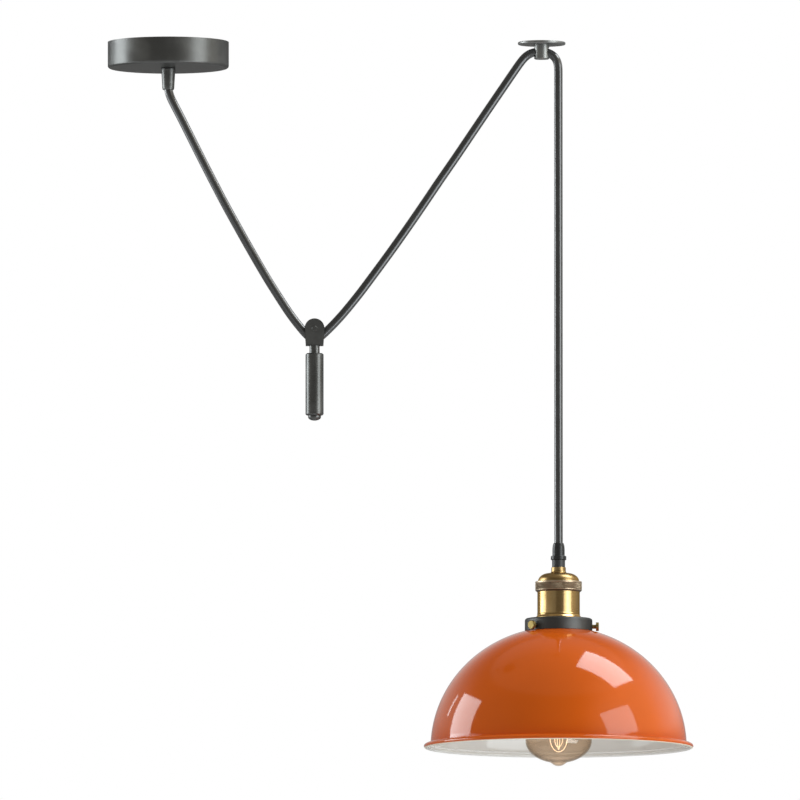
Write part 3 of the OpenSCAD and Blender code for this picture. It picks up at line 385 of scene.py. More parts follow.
def enamel(g, base, roughness=0.055, peel=0.00001, ior=1.5):
    """Glossy enamel on sheet: slightly uneven gloss with faint orange peel, deeper where it pooled."""
    pool = g.noise(g.place(), 9.0, 2.0)
    deep, pale = tuple(c * 0.95 for c in base), tuple(min(1.0, c * 1.04) for c in base)
    tone = g.mix(g.fade(pool, 0.3, 0.7), deep, pale)
    return g.surface(
        colour=tone, ior=ior, roughness=roughness + g.noise(g.place(), 60.0, 3.0) * 0.03,
        normal=g.bump(g.noise(g.place(), 150.0, 1.0), peel),
    )


def moulding(g, base, roughness=0.42):
    """Moulded plastic with a fine spark texture."""
    spark = g.noise(g.place(), 1500.0, 2.0)
    cloud = g.noise(g.place(), 90.0, 3.0)
    tone = g.mix(cloud, tuple(c * 0.85 for c in base), tuple(min(1.0, c * 1.15) for c in base))
    return g.surface(colour=tone, roughness=roughness + (spark - 0.5) * 0.12, normal=g.bump(spark, 0.00002))


def bare_metal(g, base, roughness=0.28):
    """Plated or raw small metalware with rolling marks and dull spots."""
    rolled = g.noise(g.vector("MULTIPLY", g.place(), (1.0, 12.0, 1.0)), 160.0, 3.0)
    cloud = g.noise(g.place(), 130.0, 4.0)
    tone = g.mix(g.fade(cloud, 0.4, 0.75), base, tuple(c * 0.7 for c in base))
    return g.surface(
        colour=tone, metallic=1.0, roughness=roughness + (cloud - 0.5) * 0.16, normal=g.bump(rolled, 0.000015)
    )


def blown_glass(g, tint, wall=(0.36, 0.26, 0.16), clear=0.08, rim=0.9, haze=0.07):
    """Thin glass: tinted and faintly hazed face on, darker and mirror-like towards its outline."""
    facing = g.node("ShaderNodeLayerWeight", None, {"Blend": 0.5}).output("Facing")
    ripple = g.bump(g.noise(g.place(), 45.0, 1.0), 0.00006)
    through = g.node("ShaderNodeBsdfTransparent", None, {"Color": tint})
    film = g.surface(colour=(0.75, 0.56, 0.34), roughness=0.4)
    cloudy = g.fade(g.noise(g.place(), 30.0, 2.0), 0.3, 0.7, haze * 0.7, haze * 1.3)
    body = g.node("ShaderNodeMixShader", None, {0: cloudy, 1: through, 2: film})
    gloss = g.surface(colour=(0.96, 0.95, 0.93), metallic=1.0, roughness=0.02, normal=ripple)
    glossy = g.node("ShaderNodeMixShader", None, {0: clear, 1: body, 2: gloss})
    outline = g.surface(colour=wall, metallic=1.0, roughness=0.05, normal=ripple)
    return g.node("ShaderNodeMixShader", None, {0: facing ** 4.0 * rim, 1: glossy, 2: outline})


def glowing(g, hue, strength):
    """Hot wire, its glow's colour varied in random patches between the given hue and a paler orange."""
    heat = g.noise(g.place(), 240.0, 1.0)
    return g.surface(
        colour=(0.3, 0.2, 0.12), roughness=0.5, emission_strength=strength,
        emission_color=g.mix(g.fade(heat, 0.3, 0.7), hue, (1.0, 0.78, 0.5)),
    )


# --- Mesh building ----------------------------------------------------------------------------


def arc(x, z, reach, start, end, steps, rise=None):
    """Points on an ellipse about (x, z); angles in degrees."""
    rise = reach if rise is None else rise
    turns = [radians(start + (end - start) * i / steps) for i in range(steps + 1)]
    return [(x + reach * cos(t), z + rise * sin(t)) for t in turns]


def curve(a, b, c, d, steps):
    """Points on a Bezier curve, without its ends."""
    points = []
    for i in range(1, steps):
        t, s = i / steps, 1 - i / steps
        points.append(tuple(
            s**3 * p + 3 * s * s * t * q + 3 * s * t * t * r + t**3 * w for p, q, r, w in zip(a, b, c, d)
        ))
    return points


def rounded(*corners, steps=4, hold=0.00012):
    """A closed outline of (radius, level, rounding) corners, each made a small arc with held edges."""
    points = []
    for i, (r, z, rounding) in enumerate(corners):
        here = Vector((r, z))
        before, after = Vector(corners[i - 1][:2]), Vector(corners[(i + 1) % len(corners)][:2])
        if not rounding:
            points.append((r, z))
            continue
        back, on = (before - here), (after - here)
        cut = min(rounding, back.length * 0.45, on.length * 0.45)
        a, b = here + back.normalized() * cut, here + on.normalized() * cut
        points.append(tuple(a + back.normalized() * min(hold, back.length * 0.04)))
        for k in range(steps + 1):
            t = k / steps
            points.append(tuple(a * (1 - t) ** 2 + here * 2 * t * (1 - t) + b * t * t))
        points.append(tuple(b + on.normalized() * min(hold, on.length * 0.04)))
    return points


def smoothed(route, step):
    """A route resampled as one smooth line with points about a step apart."""
    points = [Vector((x, 0.0, z)) for x, z in route]
    ends = [points[0] * 2 - points[1], *points, points[-1] * 2 - points[-2]]
    line = []
    for i in range(1, len(ends) - 2):
        p, q, r, s = ends[i - 1 : i + 3]
        count = max(2, round((r - q).length / step))
        for k in range(count):
            t = k / count
            line.append(0.5 * (
                2 * q + (r - p) * t + (2 * p - 5 * q + 4 * r - s) * t**2 + (3 * q - p - 3 * r + s) * t**3
            ))
    line.append(points[-1])
    for _ in range(6):
        line[2:-2] = [(line[i - 1] + line[i] * 2 + line[i + 1]) / 4 for i in range(2, len(line) - 2)]
    return line


class Piece:
    """Collects the faces of one piece, with a UV map in metres."""

    def __init__(self, materials, mesh=None):
        self.bm, self.materials = bmesh.new(), materials
        if mesh:
            self.bm.from_mesh(mesh)
        for face in self.bm.faces:
            face.material_index = materials.index(mesh.materials[face.material_index])
        self.uv = self.bm.loops.layers.uv.get("UVMap") or self.bm.loops.layers.uv.new("UVMap")

    def skin(self, rings, close, across, along, slots):
        """Joins rings of vertices with faces; across and along give each corner's UV."""
        for i, (low, high) in enumerate(zip(rings, rings[1:])):
            count = max(len(low), len(high))
            for k in range(count if close else count - 1):
                j = (k + 1) % count
                corners = [(low, k, i), (low, j, i), (high, j, i + 1), (high, k, i + 1)]
                verts, uvs = [], []
                for ring, n, level in corners:
                    vert = ring[n % len(ring)]
                    if vert in verts:
                        continue
                    verts.append(vert)
                    column = k if n == k else k + 1
                    uvs.append((across[column], along[level]))
                if len(verts) < 3:
                    continue
                face = self.bm.faces.new(verts)
                face.smooth, face.material_index = True, slots[i]
                for loop, uv in zip(face.loops, uvs):
                    loop[self.uv].uv = uv

    def spin(self, outline, centre, facets, slots=0, closed=True):
        """Turns an outline of (radius, level) points about a vertical axis."""
        outline = list(outline) + ([outline[0]] if closed else [])
        turns = [2 * pi * k / facets for k in range(facets)]
        rings = []
        for r, z in outline:
            if r < 1e-7:
                rings.append([self.bm.verts.new((centre[0], centre[1], z))])
            else:
                rings.append([
                    self.bm.verts.new((centre[0] + r * cos(t), centre[1] + r * sin(t), z)) for t in turns
                ])
        if closed:
            for vert in rings[-1]:
                self.bm.verts.remove(vert)
            rings[-1] = rings[0]
        widest = max(r for r, _ in outline)
        along = [0.0]
        for a, b in zip(outline, outline[1:]):
            along.append(along[-1] + (Vector(b) - Vector(a)).length)
        across = [2 * pi * widest * k / facets for k in range(facets + 1)]
        if not isinstance(slots, list):
            slots = [slots] * (len(outline) - 1)
        self.skin(rings, True, across, along, slots)
        return self

    def sweep(self, line, radius, sides, level=(0, 1, 0)):
        """A round tube along a line, closed at both ends."""
        rings, along = [], [0.0]
        turns = [2 * pi * k / sides for k in range(sides)]
        for i, point in enumerate(line):
            ahead = (line[min(i + 1, len(line) - 1)] - line[max(i - 1, 0)]).normalized()
            side = ahead.cross(Vector(level)).normalized()
            up = ahead.cross(side)
            rings.append([
                self.bm.verts.new(point + (side * cos(t) + up * sin(t)) * radius) for t in turns
            ])
            if i:
                along.append(along[-1] + (point - line[i - 1]).length)
        across = [2 * pi * radius * k / sides for k in range(sides + 1)]
        self.skin(rings, True, across, along, [0] * (len(rings) - 1))
        for ring in (rings[0], rings[-1]):
            self.bm.faces.new(ring).smooth = False
        return self

    def done(self, name, slot, *nodes, body=None, merge=1e-7, sharp=40.0):
        """Makes the object, which stands for these CAD nodes and rides on their body."""
        bmesh.ops.remove_doubles(self.bm, verts=self.bm.verts, dist=merge)
        bmesh.ops.recalc_face_normals(self.bm, faces=self.bm.faces)
        mesh = bpy.data.meshes.new(name)
        self.bm.to_mesh(mesh)
        self.bm.free()
        for each in self.materials:
            mesh.materials.append(each)
        mesh.set_sharp_from_angle(angle=radians(sharp))
        made = bpy.data.objects.new(name, mesh)
        bpy.context.scene.collection.objects.link(made)
        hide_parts(*nodes)
        if body:
            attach(made, body)
        return made


def baked(tree, name, **values):
    """The plain mesh that a geometry tree makes with these inputs."""
    holder = bpy.data.objects.new(name, bpy.data.meshes.new(name))
    bpy.context.scene.collection.objects.link(holder)
    modifier = holder.modifiers.new(name, "NODES")
    modifier.node_group = tree
    for item in tree.interface.items_tree:
        if item.in_out == "INPUT" and item.name in values:
            modifier[item.identifier] = values[item.name]
    bpy.context.view_layer.update()
    result = holder.evaluated_get(bpy.context.evaluated_depsgraph_get())
    mesh = bpy.data.meshes.new_from_object(result)
    if not mesh.polygons:
        raise RuntimeError(f"the tree {tree.name} made no faces")
    holder.modifiers.clear()
    bpy.data.objects.remove(holder)
    return mesh


def geometry_tree(name, inputs):
    """A new geometry tree, its graph and its inputs as wires by name."""
    tree = bpy.data.node_groups.new(name, "GeometryNodeTree")
    for title, kind in inputs.items():
        tree.interface.new_socket(title, in_out="INPUT", socket_type="NodeSocket" + kind)
    tree.interface.new_socket("Geometry", in_out="OUTPUT", socket_type="NodeSocketGeometry")
    graph = Graph(tree)
    source = graph.node("NodeGroupInput")
    return tree, graph, {title: source.output(title) for title in inputs}


def dome_tree():
    """Outer and inner skins of a half-ellipse dome between two level angles."""
    tree, g, given = geometry_tree("Spun dome", {
        "Facets": "Int", "Rings": "Int", "Radius": "Float", "Height": "Float", "Wall": "Float",
        "Low": "Float", "High": "Float", "Inner low": "Float", "Inner high": "Float",
        "Axis": "Vector", "Outside": "Material", "Inside": "Material",
    })
    skin_size = (0.8, 0.19, 0.0)  # round the dome and up it, in metres
    weld = 0.00001
    skins = []
    for wall, low, high, finish in (
        (0.0, given["Low"], given["High"], given["Outside"]),
        (given["Wall"], given["Inner low"], given["Inner high"], given["Inside"]),
    ):
        grid = g.node("GeometryNodeMeshGrid", None, {
            "Size X": 1.0, "Size Y": 1.0, "Vertices X": given["Facets"] + 1, "Vertices Y": given["Rings"] + 1,
        })
        x, y, _ = g.split(g.node("GeometryNodeInputPosition"))
        turn, level = (x + 0.5) * (2 * pi), low + (y + 0.5) * (high - low)
        reach = (given["Radius"] - wall) * g.math("COSINE", level)
        rise = (given["Height"] - wall) * g.math("SINE", level)
        place = g.join(reach * g.math("COSINE", turn), reach * g.math("SINE", turn), rise)
        named = g.node("GeometryNodeStoreNamedAttribute", {"data_type": "FLOAT2", "domain": "CORNER"}, {
            "Geometry": grid, "Name": "UVMap",
            "Value": g.vector("MULTIPLY", grid.output("UV Map"), skin_size),
        })
        shaped = g.node("GeometryNodeSetPosition", None, {
            "Geometry": named, "Position": g.vector("ADD", place, given["Axis"]),
        })
        joined = g.node("GeometryNodeMergeByDistance", None, {"Geometry": shaped, "Distance": weld})
        smooth = g.node("GeometryNodeSetShadeSmooth", None, {"Geometry": joined})
        skins.append(g.node("GeometryNodeSetMaterial", None, {"Geometry": smooth, "Material": finish}))
    both = g.node("GeometryNodeJoinGeometry", None, {"Geometry": skins[0]})
    tree.links.new(skins[1].socket, both.node.inputs[0])
    g.node("NodeGroupOutput", None, {0: g.node("GeometryNodeRealizeInstances", None, {"Geometry": both})})
    return tree


def knurl_tree():
    """Staggered rows of four-sided points round a vertical axis."""
    tree, g, given = geometry_tree("Diamond knurl", {
        "Columns": "Int", "Rows": "Int", "Radius": "Float", "Width": "Float", "Height": "Float",
        "Axis": "Vector", "Finish": "Material",
    })
    tip_radius, overlap = 0.00006, 1.04  # radius of a point's tip, and of its base in rows
    count_edge = 0.01  # keeps the row's division on the right side of a whole number
    index = g.node("GeometryNodeInputIndex")
    row = g.math("FLOOR", (index + count_edge) / given["Columns"])
    column = index - row * given["Columns"]
    turn = (column + g.math("MODULO", row, 2.0) * 0.5) * (2 * pi) / given["Columns"]
    pitch = given["Width"] / (given["Rows"] + 1)
    level = (row + 1.0) * pitch - given["Width"] * 0.5
    place = g.join(given["Radius"] * g.math("COSINE", turn), given["Radius"] * g.math("SINE", turn), level)
    points = g.node("GeometryNodePoints", None, {
        "Count": given["Columns"] * given["Rows"], "Position": g.vector("ADD", place, given["Axis"]),
    })
    point = g.node("GeometryNodeMeshCone", {"fill_type": "TRIANGLE_FAN"}, {
        "Vertices": 4, "Radius Top": tip_radius, "Radius Bottom": pitch * overlap,
        "Depth": given["Height"],
    })
    studs = g.node("GeometryNodeInstanceOnPoints", None, {
        "Points": points, "Instance": point, "Rotation": g.join(0.0, pi / 2, turn),
    })
    real = g.node("GeometryNodeRealizeInstances", None, {"Geometry": studs})
    flat = g.node("GeometryNodeSetShadeSmooth", None, {"Geometry": real, "Shade Smooth": False})
    done = g.node("GeometryNodeSetMaterial", None, {"Geometry": flat, "Material": given["Finish"]})
    g.node("NodeGroupOutput", None, {0: done})
    return tree


def dress(finish, *nodes):
    """Gives CAD nodes that keep their own shape a finish."""
    for node in nodes:
        for slot in NODES[node].material_slots:
            slot.material = finish


# --- Operators --------------------------------------------------------------------------------


class PENDANT_OT_stage(bpy.types.Operator):
    """Camera, studio lights, white surroundings and a pale floor"""

    bl_idname = "pendant.stage"
    bl_label = "Stage"

    def softbox(self, name, towards, distance, size, radiance, unseen=(), turn=0.0):
        """A rectangular light in a direction from the aim, hidden from the camera and the unseen rays."""
        aim = Vector((HOLDER_AXIS.x, 0.0, LIGHT_AIM_LEVEL))
        towards = Vector(towards).normalized()
        lamp = bpy.data.lights.new(name, "AREA")
        lamp.shape = "RECTANGLE"
        lamp.size, lamp.size_y = size
        lamp.energy = radiance * pi * size[0] * size[1]
        lamp.color = LIGHT_COLOUR
        made = bpy.data.objects.new(name, lamp)
        made.location = aim + towards * distance
        facing = towards.to_track_quat("Z", "Y") @ Quaternion((0.0, 0.0, 1.0), radians(turn))
        made.rotation_euler = facing.to_euler()
        for kind in ("camera", *unseen):
            setattr(made, "visible_" + kind, False)
        bpy.context.scene.collection.objects.link(made)

    def execute(self, context):
        scene, chosen = context.scene, context.scene.pendant_stage
        scene.view_settings.view_transform = "Standard"
        lens = bpy.data.cameras.new("camera")
        lens.lens, lens.sensor_width, lens.clip_end = chosen.lens, 36.0, 100.0
        camera = bpy.data.objects.new("camera", lens)
        ahead = Vector((0.0, cos(chosen.tilt), sin(chosen.tilt)))
        camera.location = PICTURE_MIDDLE - ahead * chosen.distance
        camera.rotation_euler = ahead.to_track_quat("-Z", "Y").to_euler()
        scene.collection.objects.link(camera)
        scene.camera = camera

        self.softbox("softbox_above", (0.46, 0.045, 0.86), 2.4, (1.1, 1.32), 6.8, ("diffuse",), turn=-13.0)
        self.softbox("fill_above", (0.45, 0.06, 0.86), 2.4, (1.2, 1.3), 4.0, ("glossy", "transmission"))
        self.softbox("softbox_left", (-0.918, 0.190, 0.335), 2.4, (1.2, 1.08), 5.4, turn=5.0)
        self.softbox("softbox_right", (0.80, -0.495, 0.325), 2.4, (1.35, 0.95), 3.1, turn=9.0)
        self.softbox("sill_left", (-0.998, 0.06, 0.0), 2.4, (1.8, 0.70), 2.3, ("diffuse",))
        self.softbox("sill_right", (0.745, -0.640, -0.174), 2.4, (1.85, 1.50), 2.7, ("diffuse",))
        self.softbox("sill_front", (-0.688, -0.725, 0.0), 2.4, (2.6, 0.70), 0.22, ("diffuse",))
        self.softbox("strip_left", (-0.74, 0.57, 0.35), 2.4, (0.09, 0.42), 4.2, ("diffuse",))
        self.softbox("fill_right", (0.75, -0.45, 0.35), 2.6, (1.6, 1.6), 2.4, ("glossy", "transmission"))
        self.softbox("fill_below", (0.50, -0.45, -0.74), 1.7, (1.0, 1.0), 2.5, ("glossy", "transmission"))

        scene.world = bpy.data.worlds.new("studio")
        scene.world.use_nodes = True
        g = Graph(scene.world.node_tree)
        rays = g.node("ShaderNodeLightPath")
        x, y, z = g.split(g.node("ShaderNodeTexCoord").output("Generated"))
        behind = g.fade(y, 0.1, 0.5)
        front = 0.11 + g.fade(x, 0.3, 1.0) * 0.34 + g.fade(x, -0.4, -1.0) * 0.12
        backdrop = 0.30 + g.fade(z, 0.06, 0.25) * 0.32 - g.fade(z, 0.30, 0.75) * 0.50
        mirrored = front + (backdrop - front) * behind
        mirrored = mirrored + g.fade(z, 0.72, 0.78) * 0.18
        mirrored = mirrored + g.fade(x, 0.25, 0.75) * g.fade(z, 0.10, 0.25) * 0.40
        ambient = 0.36
        plain = ambient + rays.output("Is Glossy Ray") * (mirrored - ambient)
        seen = g.math("MAXIMUM", rays.output("Is Camera Ray"), rays.output("Is Transmission Ray"))
        hue = g.mix(rays.output("Is Glossy Ray") * (1.0 - behind), WHITE, (1.0, 0.91, 0.72))
        hue = g.mix(seen, hue, WHITE)
        sky = g.node("ShaderNodeBackground", None, {"Color": hue, "Strength": plain + seen * (1.0 - plain)})
        g.node("ShaderNodeOutputWorld", None, {"Surface": sky})

        floor = bpy.data.meshes.new("floor")
        reach, level = 60.0, -chosen.floor_level
        floor.from_pydata(
            [(-reach, -reach, level), (reach, -reach, level), (reach, reach, level), (-reach, reach, level)],
            [], [(0, 1, 2, 3)],
        )

        def paper(g):
            grain = g.noise(g.place(), 3.0, 3.0)
            tone = g.mix(grain, tuple(c * 0.98 for c in chosen.floor), tuple(chosen.floor))
            lit = g.surface(colour=tone, roughness=0.9, specular=0.1)
            under = g.node("ShaderNodeNewGeometry").output("Backfacing")
            clear = g.node("ShaderNodeBsdfTransparent")
            return g.node("ShaderNodeMixShader", None, {0: under, 1: lit, 2: clear})

        floor.materials.append(material("floor_paper", paper))
        ground = bpy.data.objects.new("floor", floor)
        scene.collection.objects.link(ground)
        return {"FINISHED"}


class PENDANT_OT_flex(bpy.types.Operator):
    """One round flex: down to the wheel, up to the guide, then down to the lampholder"""

    bl_idname = "pendant.flex"
    bl_label = "Flex"

    def execute(self, context):
        chosen = context.scene.pendant_flex
        finish = material("flex_sheath", sheath, tuple(chosen.sheath))
        for name, node, route, bodies, ends, lay in (
            ("flex_left", "cable_left_run", LEFT_ROUTE, ("ceiling_set", "weight_set"), (3, 19), "taut"),
            ("flex_right", "cable_right_run", RIGHT_ROUTE, ("weight_set", "ceiling_set"), (5, 20), "taut"),
            ("flex_fall", "cable_fall", FALL_ROUTE, ("ceiling_set", "pendant"), (6, 17), "hanging"),
        ):
            line = smoothed(route, chosen.step)
            run = sum((b - a).length for a, b in zip(line, line[1:]))
            piece = Piece([finish]).sweep(line, chosen.diameter / 2, chosen.sides)
            made = piece.done(name, "flex", node)
            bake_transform(made)
        return {"FINISHED"}


class PENDANT_OT_ceiling(bpy.types.Operator):
    """Rose, cord grip and guide on the ceiling, with the terminals inside the rose"""

    bl_idname = "pendant.ceiling"
    bl_label = "Ceiling fittings"

    def execute(self, context):
        dark = tuple(context.scene.pendant_metal.gunmetal)
        dress(material("rose_plating", satin_metal, dark, ROSE_AXIS), "ceiling_rose", "rose_grip")
        # The guide's colour is the rose's gunmetal made 1.9 times lighter: a lit copy of the same plating,
        # which paints a highlight onto the guide.
        lightened = tuple(c * 1.9 for c in dark)
        dress(material("guide_plating", satin_metal, lightened, GUIDE_AXIS), "guide_flange", "guide_boss")
        dress(material("dark_screw", bare_metal, (0.12, 0.12, 0.12)), "rose_side_screws", "rose_grip_screw")
        dress(material("zinc_plate", bare_metal, (0.60, 0.61, 0.63), 0.34), "mounting_strap", "rose_grip_nut")
        dress(material("ivory_block", moulding, (0.72, 0.68, 0.56), 0.36), "terminal_block")
        dress(material("terminal_brass", bare_metal, (0.68, 0.50, 0.20)), "terminal_screws", "earth_screw")
        for node, hue in (
            ("live_core", (0.19, 0.065, 0.02)),
            ("neutral_core", (0.03, 0.12, 0.42)),
            ("earth_core", (0.16, 0.34, 0.05)),
        ):
            dress(material(node + "_sleeve", moulding, hue, 0.4), node)
        return {"FINISHED"}


class PENDANT_OT_weight(bpy.types.Operator):
    """Fork, grooved wheel and counterweight"""

    bl_idname = "pendant.weight"
    bl_label = "Counterweight"

    def execute(self, context):
        dark = tuple(context.scene.pendant_metal.gunmetal)
        plating = material("weight_plating", satin_metal, dark, WEIGHT_AXIS, 0.30)
        dress(plating, "counterweight", "domed_nut", "weight_neck")
        dress(material("fork_plating", satin_metal, dark, WEIGHT_AXIS, 0.38), "pulley_fork", "fork_axle")
        dress(material("wheel_nylon", moulding, (0.03, 0.03, 0.032), 0.38), "pulley_wheel")
        dress(material("bolt_zinc", bare_metal, (0.60, 0.61, 0.63)), "tie_bolt")
        return {"FINISHED"}


class PENDANT_OT_holder(bpy.types.Operator):
    """Brass lampholder with its knurled ring and cord grip"""

    bl_idname = "pendant.holder"
    bl_label = "Lampholder"

    def execute(self, context):
        chosen = context.scene.pendant_holder
        dress(material("body_brass", polished_brass, tuple(chosen.brass), HOLDER_AXIS), "holder_body")
        # The cap's brass is the body's brass painted 0.69 times as dark: painted shade on the cap, which
        # faces the light from above. Its roughness of 0.27 is its own duller finish.
        shaded_brass = tuple(c * 0.69 for c in chosen.brass)
        dress(material("cap_brass", polished_brass, shaded_brass, HOLDER_AXIS, 0.27), "holder_cap")
        dress(material("grip_moulding", moulding, (0.020, 0.020, 0.021), 0.29), "grip_cap")
        dress(material("grip_thread", moulding, (0.036, 0.036, 0.037), 0.40), "grip_base")
        dress(material("core_moulding", moulding, (0.02, 0.02, 0.021), 0.45), "socket_core")
        dress(material("shell_brass", bare_metal, (0.66, 0.46, 0.18)), "thread_shell", "centre_contact")

        low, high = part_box("knurled_ring")
        reach = (high.x - low.x) / 2
        wall, inset = 0.00205, 0.0001  # from the CAD ring's radius in to the bore and to the beads
        low_bead, slope = 0.0007, 0.0003  # height of the bead over the bevel, and of its slope to the band
        bore, outer = reach - wall, reach - inset
        recess = reach - chosen.knurl_height
        band_low = low.z + chosen.bevel + low_bead
        band_high = high.z - chosen.bead_width - slope
        outline = rounded(
            (bore, low.z, 0.0002),
            (outer - chosen.bevel, low.z, 0.0003),
            (outer, low.z + chosen.bevel, 0.0004),
            (outer, band_low - slope, 0.0003),
            (recess, band_low, 0),
            (recess, band_high, 0),
            (outer, band_high + slope, 0.0004),
            (outer, high.z, 0.0011),
            (bore, high.z, 0.0002),
        )
        hue = tuple(chosen.knurl_brass)
        finish = material("ring_brass", knurled_brass, hue, HOLDER_AXIS, recess, outer, band_low, band_high)
        axis = Vector((HOLDER_AXIS.x, 0.0, (band_low + band_high) / 2))
        sunk, spare = 0.00002, 0.00006  # how far the points start under the recess, and are cut short
        knurl = baked(
            knurl_tree(), "knurl", Columns=chosen.knurl_columns, Rows=chosen.knurl_rows,
            Radius=recess - sunk, Width=band_high - band_low, Height=chosen.knurl_height - spare,
            Axis=axis, Finish=finish,
        )
        facets = 192
        ring = Piece([finish], knurl).spin(outline, axis, facets)
        ring.done("ring", "antique_brass", "knurled_ring", body="pendant", sharp=25.0)
        return {"FINISHED"}


class PENDANT_OT_gallery(bpy.types.Operator):
    """Shade holder, its clamping nut and three thumb screws"""

    bl_idname = "pendant.gallery"
    bl_label = "Gallery"

    def execute(self, context):
        black = tuple(context.scene.pendant_metal.gallery)
        dress(material("gallery_black", satin_metal, black, HOLDER_AXIS, 0.42, 0.75), "gallery")
        dress(material("nut_moulding", moulding, (0.022, 0.022, 0.023)), "gallery_nut")
        yellow = tuple(context.scene.pendant_holder.screw_brass)
        finish = material("screw_brass", polished_brass, yellow, HOLDER_AXIS, 0.40)
        dress(finish, "thumb_screw_1", "thumb_screw_2", "thumb_screw_3")
        return {"FINISHED"}


class PENDANT_OT_shade(bpy.types.Operator):
    """Enamelled dome with a beaded neck and a flared, rolled rim"""

    bl_idname = "pendant.shade"
    bl_label = "Shade"

    def execute(self, context):
        s = context.scene.pendant_shade
        out_slot, in_slot, edge_slot = range(3)
        low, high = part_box("shade")
        rim_r = (high.y - low.y) / 2
        dome_r = rim_r - s.rim_reach
        holder_low, holder_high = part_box("gallery")
        holder_r = (holder_high.y - holder_low.y) / 2
        clearance = 0.0003  # between the dome and the gallery's lower edge
        centre = holder_low.z - clearance - s.dome_height * sqrt(1 - (holder_r / dome_r) ** 2)
        inner_r, inner_h = dome_r - s.wall, s.dome_height - s.wall
        top, flare = acos(s.neck_radius / dome_r), asin(s.flare_level / s.dome_height)
        inner_top, inner_flare = acos((s.neck_radius - s.wall) / inner_r), asin(s.flare_level / inner_h)
        outside = material("enamel_outside", enamel, tuple(s.outside))
        inside = material("enamel_inside", enamel, tuple(s.inside), 0.06, 0.000003, 1.65)
        edge = material("enamel_edge", enamel, tuple(s.edge), 0.3, 0.00003)
        axis = Vector((HOLDER_AXIS.x, 0.0, centre))
        dome = baked(
            dome_tree(), "dome", Facets=s.facets, Rings=s.rings, Radius=dome_r, Height=s.dome_height,
            Wall=s.wall, Low=flare, High=top, **{"Inner low": inner_flare, "Inner high": inner_top},
            Axis=axis, Outside=outside, Inside=inside,
        )
        shade = Piece([outside, inside, edge], dome)

        bead_r, lip = 0.0008, 0.0002
        bead_z = high.z - 2 * bead_r
        outer_neck = (s.neck_radius, centre + s.dome_height * sin(top))
        inner_neck = (s.neck_radius - s.wall, centre + inner_h * sin(inner_top))
        neck = [
            outer_neck, (s.neck_radius, bead_z - 0.0006), (s.neck_radius + 0.0003, bead_z - 0.0001),
            *arc(s.neck_radius + s.bead - bead_r, bead_z + bead_r, bead_r, -90, 90, 10),
            (s.neck_radius - s.wall + lip, high.z), (s.neck_radius - s.wall, high.z - lip), inner_neck,
        ]
        paint = [out_slot] * (len(neck) - 3) + [in_slot] * 2
        shade.spin(neck, axis, s.facets, paint, closed=False)

        flare_z = centre + s.flare_level
        flare_r, inner_flare_r = dome_r * cos(flare), inner_r * cos(inner_flare)
        roll_r, roll_z = rim_r - s.roll, flare_z - s.flare_height
        roll = arc(roll_r, roll_z, s.roll, 45, -215, 30)
        (top_x, top_z), (in_x, in_z) = roll[0], roll[-1]
        pull = 0.002  # length of the flare's handles where it leaves the dome
        outer_start, outer_end = (flare_r + pull, flare_z), (top_x - 0.0014, top_z + 0.0014)
        outer = [(flare_r, flare_z), *curve((flare_r, flare_z), outer_start, outer_end, roll[0], 12)]
        under_z = flare_z - s.wall
        inner_start, inner_end = (in_x - 0.0001, in_z + 0.0006), (inner_flare_r + pull, under_z - 0.0001)
        inner = [
            *curve(roll[-1], inner_start, inner_end, (inner_flare_r, under_z), 12),
            (inner_flare_r, under_z), (inner_flare_r, flare_z),
        ]
        painted_level = roll_z - s.roll * 0.55  # the outside's colour ends here on the roll
        rim = [
            in_slot if x <= roll_r else out_slot if z > painted_level else edge_slot for x, z in roll
        ]
        paint = [out_slot] * len(outer) + rim + [in_slot] * (len(inner) - 1)
        shade.spin(outer + roll + inner, axis, s.facets, paint, closed=False)
        shade.done("shade_enamel", "orange_enamel", "shade", body="pendant", merge=2e-6)
        return {"FINISHED"}


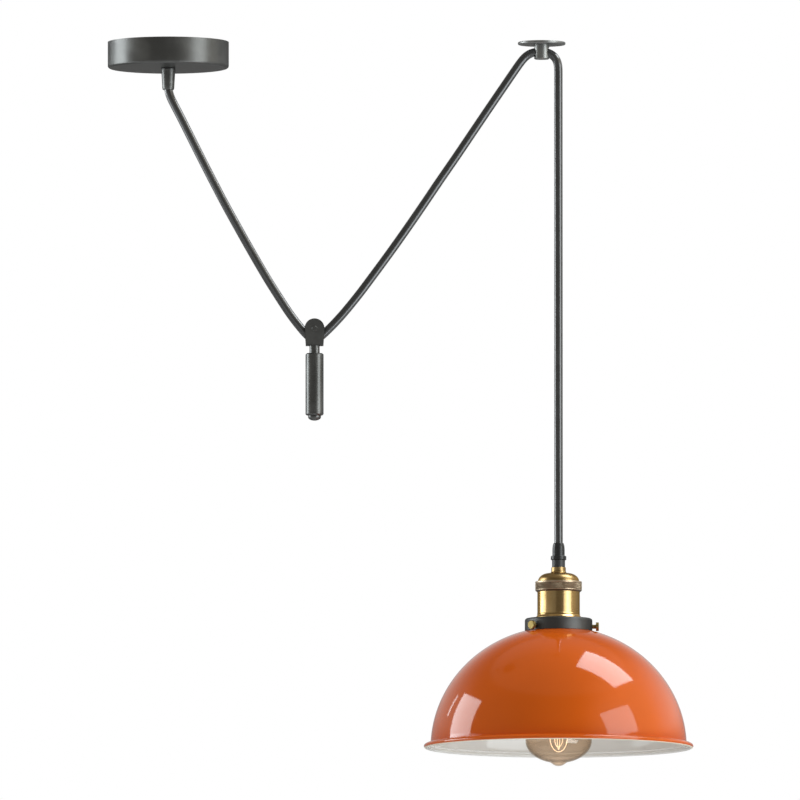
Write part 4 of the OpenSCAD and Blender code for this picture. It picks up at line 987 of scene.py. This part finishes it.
class PENDANT_OT_lamp(bpy.types.Operator):
    """Amber glass bulb with its cap, stem and looped filament"""

    bl_idname = "pendant.lamp"
    bl_label = "Lamp"

    def execute(self, context):
        chosen = context.scene.pendant_lamp
        dress(material("bulb_amber", blown_glass, tuple(chosen.tint)), "bulb_glass")
        clear = material("stem_clear", blown_glass, (0.97, 0.97, 0.95), (0.8, 0.8, 0.78), 0.06, 0.5)
        dress(clear, "bulb_stem")
        dress(material("cap_nickel", bare_metal, (0.62, 0.60, 0.56), 0.25), "bulb_cap")
        dress(material("cap_solder", bare_metal, (0.55, 0.55, 0.56), 0.4), "bulb_contact")
        dress(material("lead_nickel", bare_metal, (0.5, 0.48, 0.45), 0.3), "lead_wires")
        dress(material("filament_hot", glowing, tuple(chosen.glow), chosen.glow_strength), "filament")
        return {"FINISHED"}


OPERATORS = (
    PENDANT_OT_stage, PENDANT_OT_flex, PENDANT_OT_ceiling, PENDANT_OT_weight,
    PENDANT_OT_holder, PENDANT_OT_gallery, PENDANT_OT_shade, PENDANT_OT_lamp,
)


class PENDANT_PT_sidebar(bpy.types.Panel):
    """Lists the pendant's settings and the steps that build it"""

    bl_idname = "PENDANT_PT_sidebar"
    bl_label = "Rise and Fall Pendant"
    bl_space_type = "VIEW_3D"
    bl_region_type = "UI"
    bl_category = "Pendant"

    def draw(self, context):
        for group in GROUPS:
            box = self.layout.box()
            settings = getattr(context.scene, group)
            for name in settings.__annotations__:
                box.prop(settings, name)
        for step in OPERATORS:
            self.layout.operator(step.bl_idname)


CLASSES = (*GROUPS.values(), *OPERATORS, PENDANT_PT_sidebar)


def register():
    for each in CLASSES:
        bpy.utils.register_class(each)
    for name, group in GROUPS.items():
        setattr(bpy.types.Scene, name, PointerProperty(type=group))


def unregister():
    for name in GROUPS:
        delattr(bpy.types.Scene, name)
    for each in reversed(CLASSES):
        bpy.utils.unregister_class(each)


def main():
    """Registers the add-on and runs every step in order."""
    register()
    bpy.ops.pendant.stage()
    bpy.ops.pendant.flex()
    bpy.ops.pendant.ceiling()
    bpy.ops.pendant.weight()
    bpy.ops.pendant.holder()
    bpy.ops.pendant.gallery()
    bpy.ops.pendant.shade()
    bpy.ops.pendant.lamp()


if __name__ == "__main__":
    main()
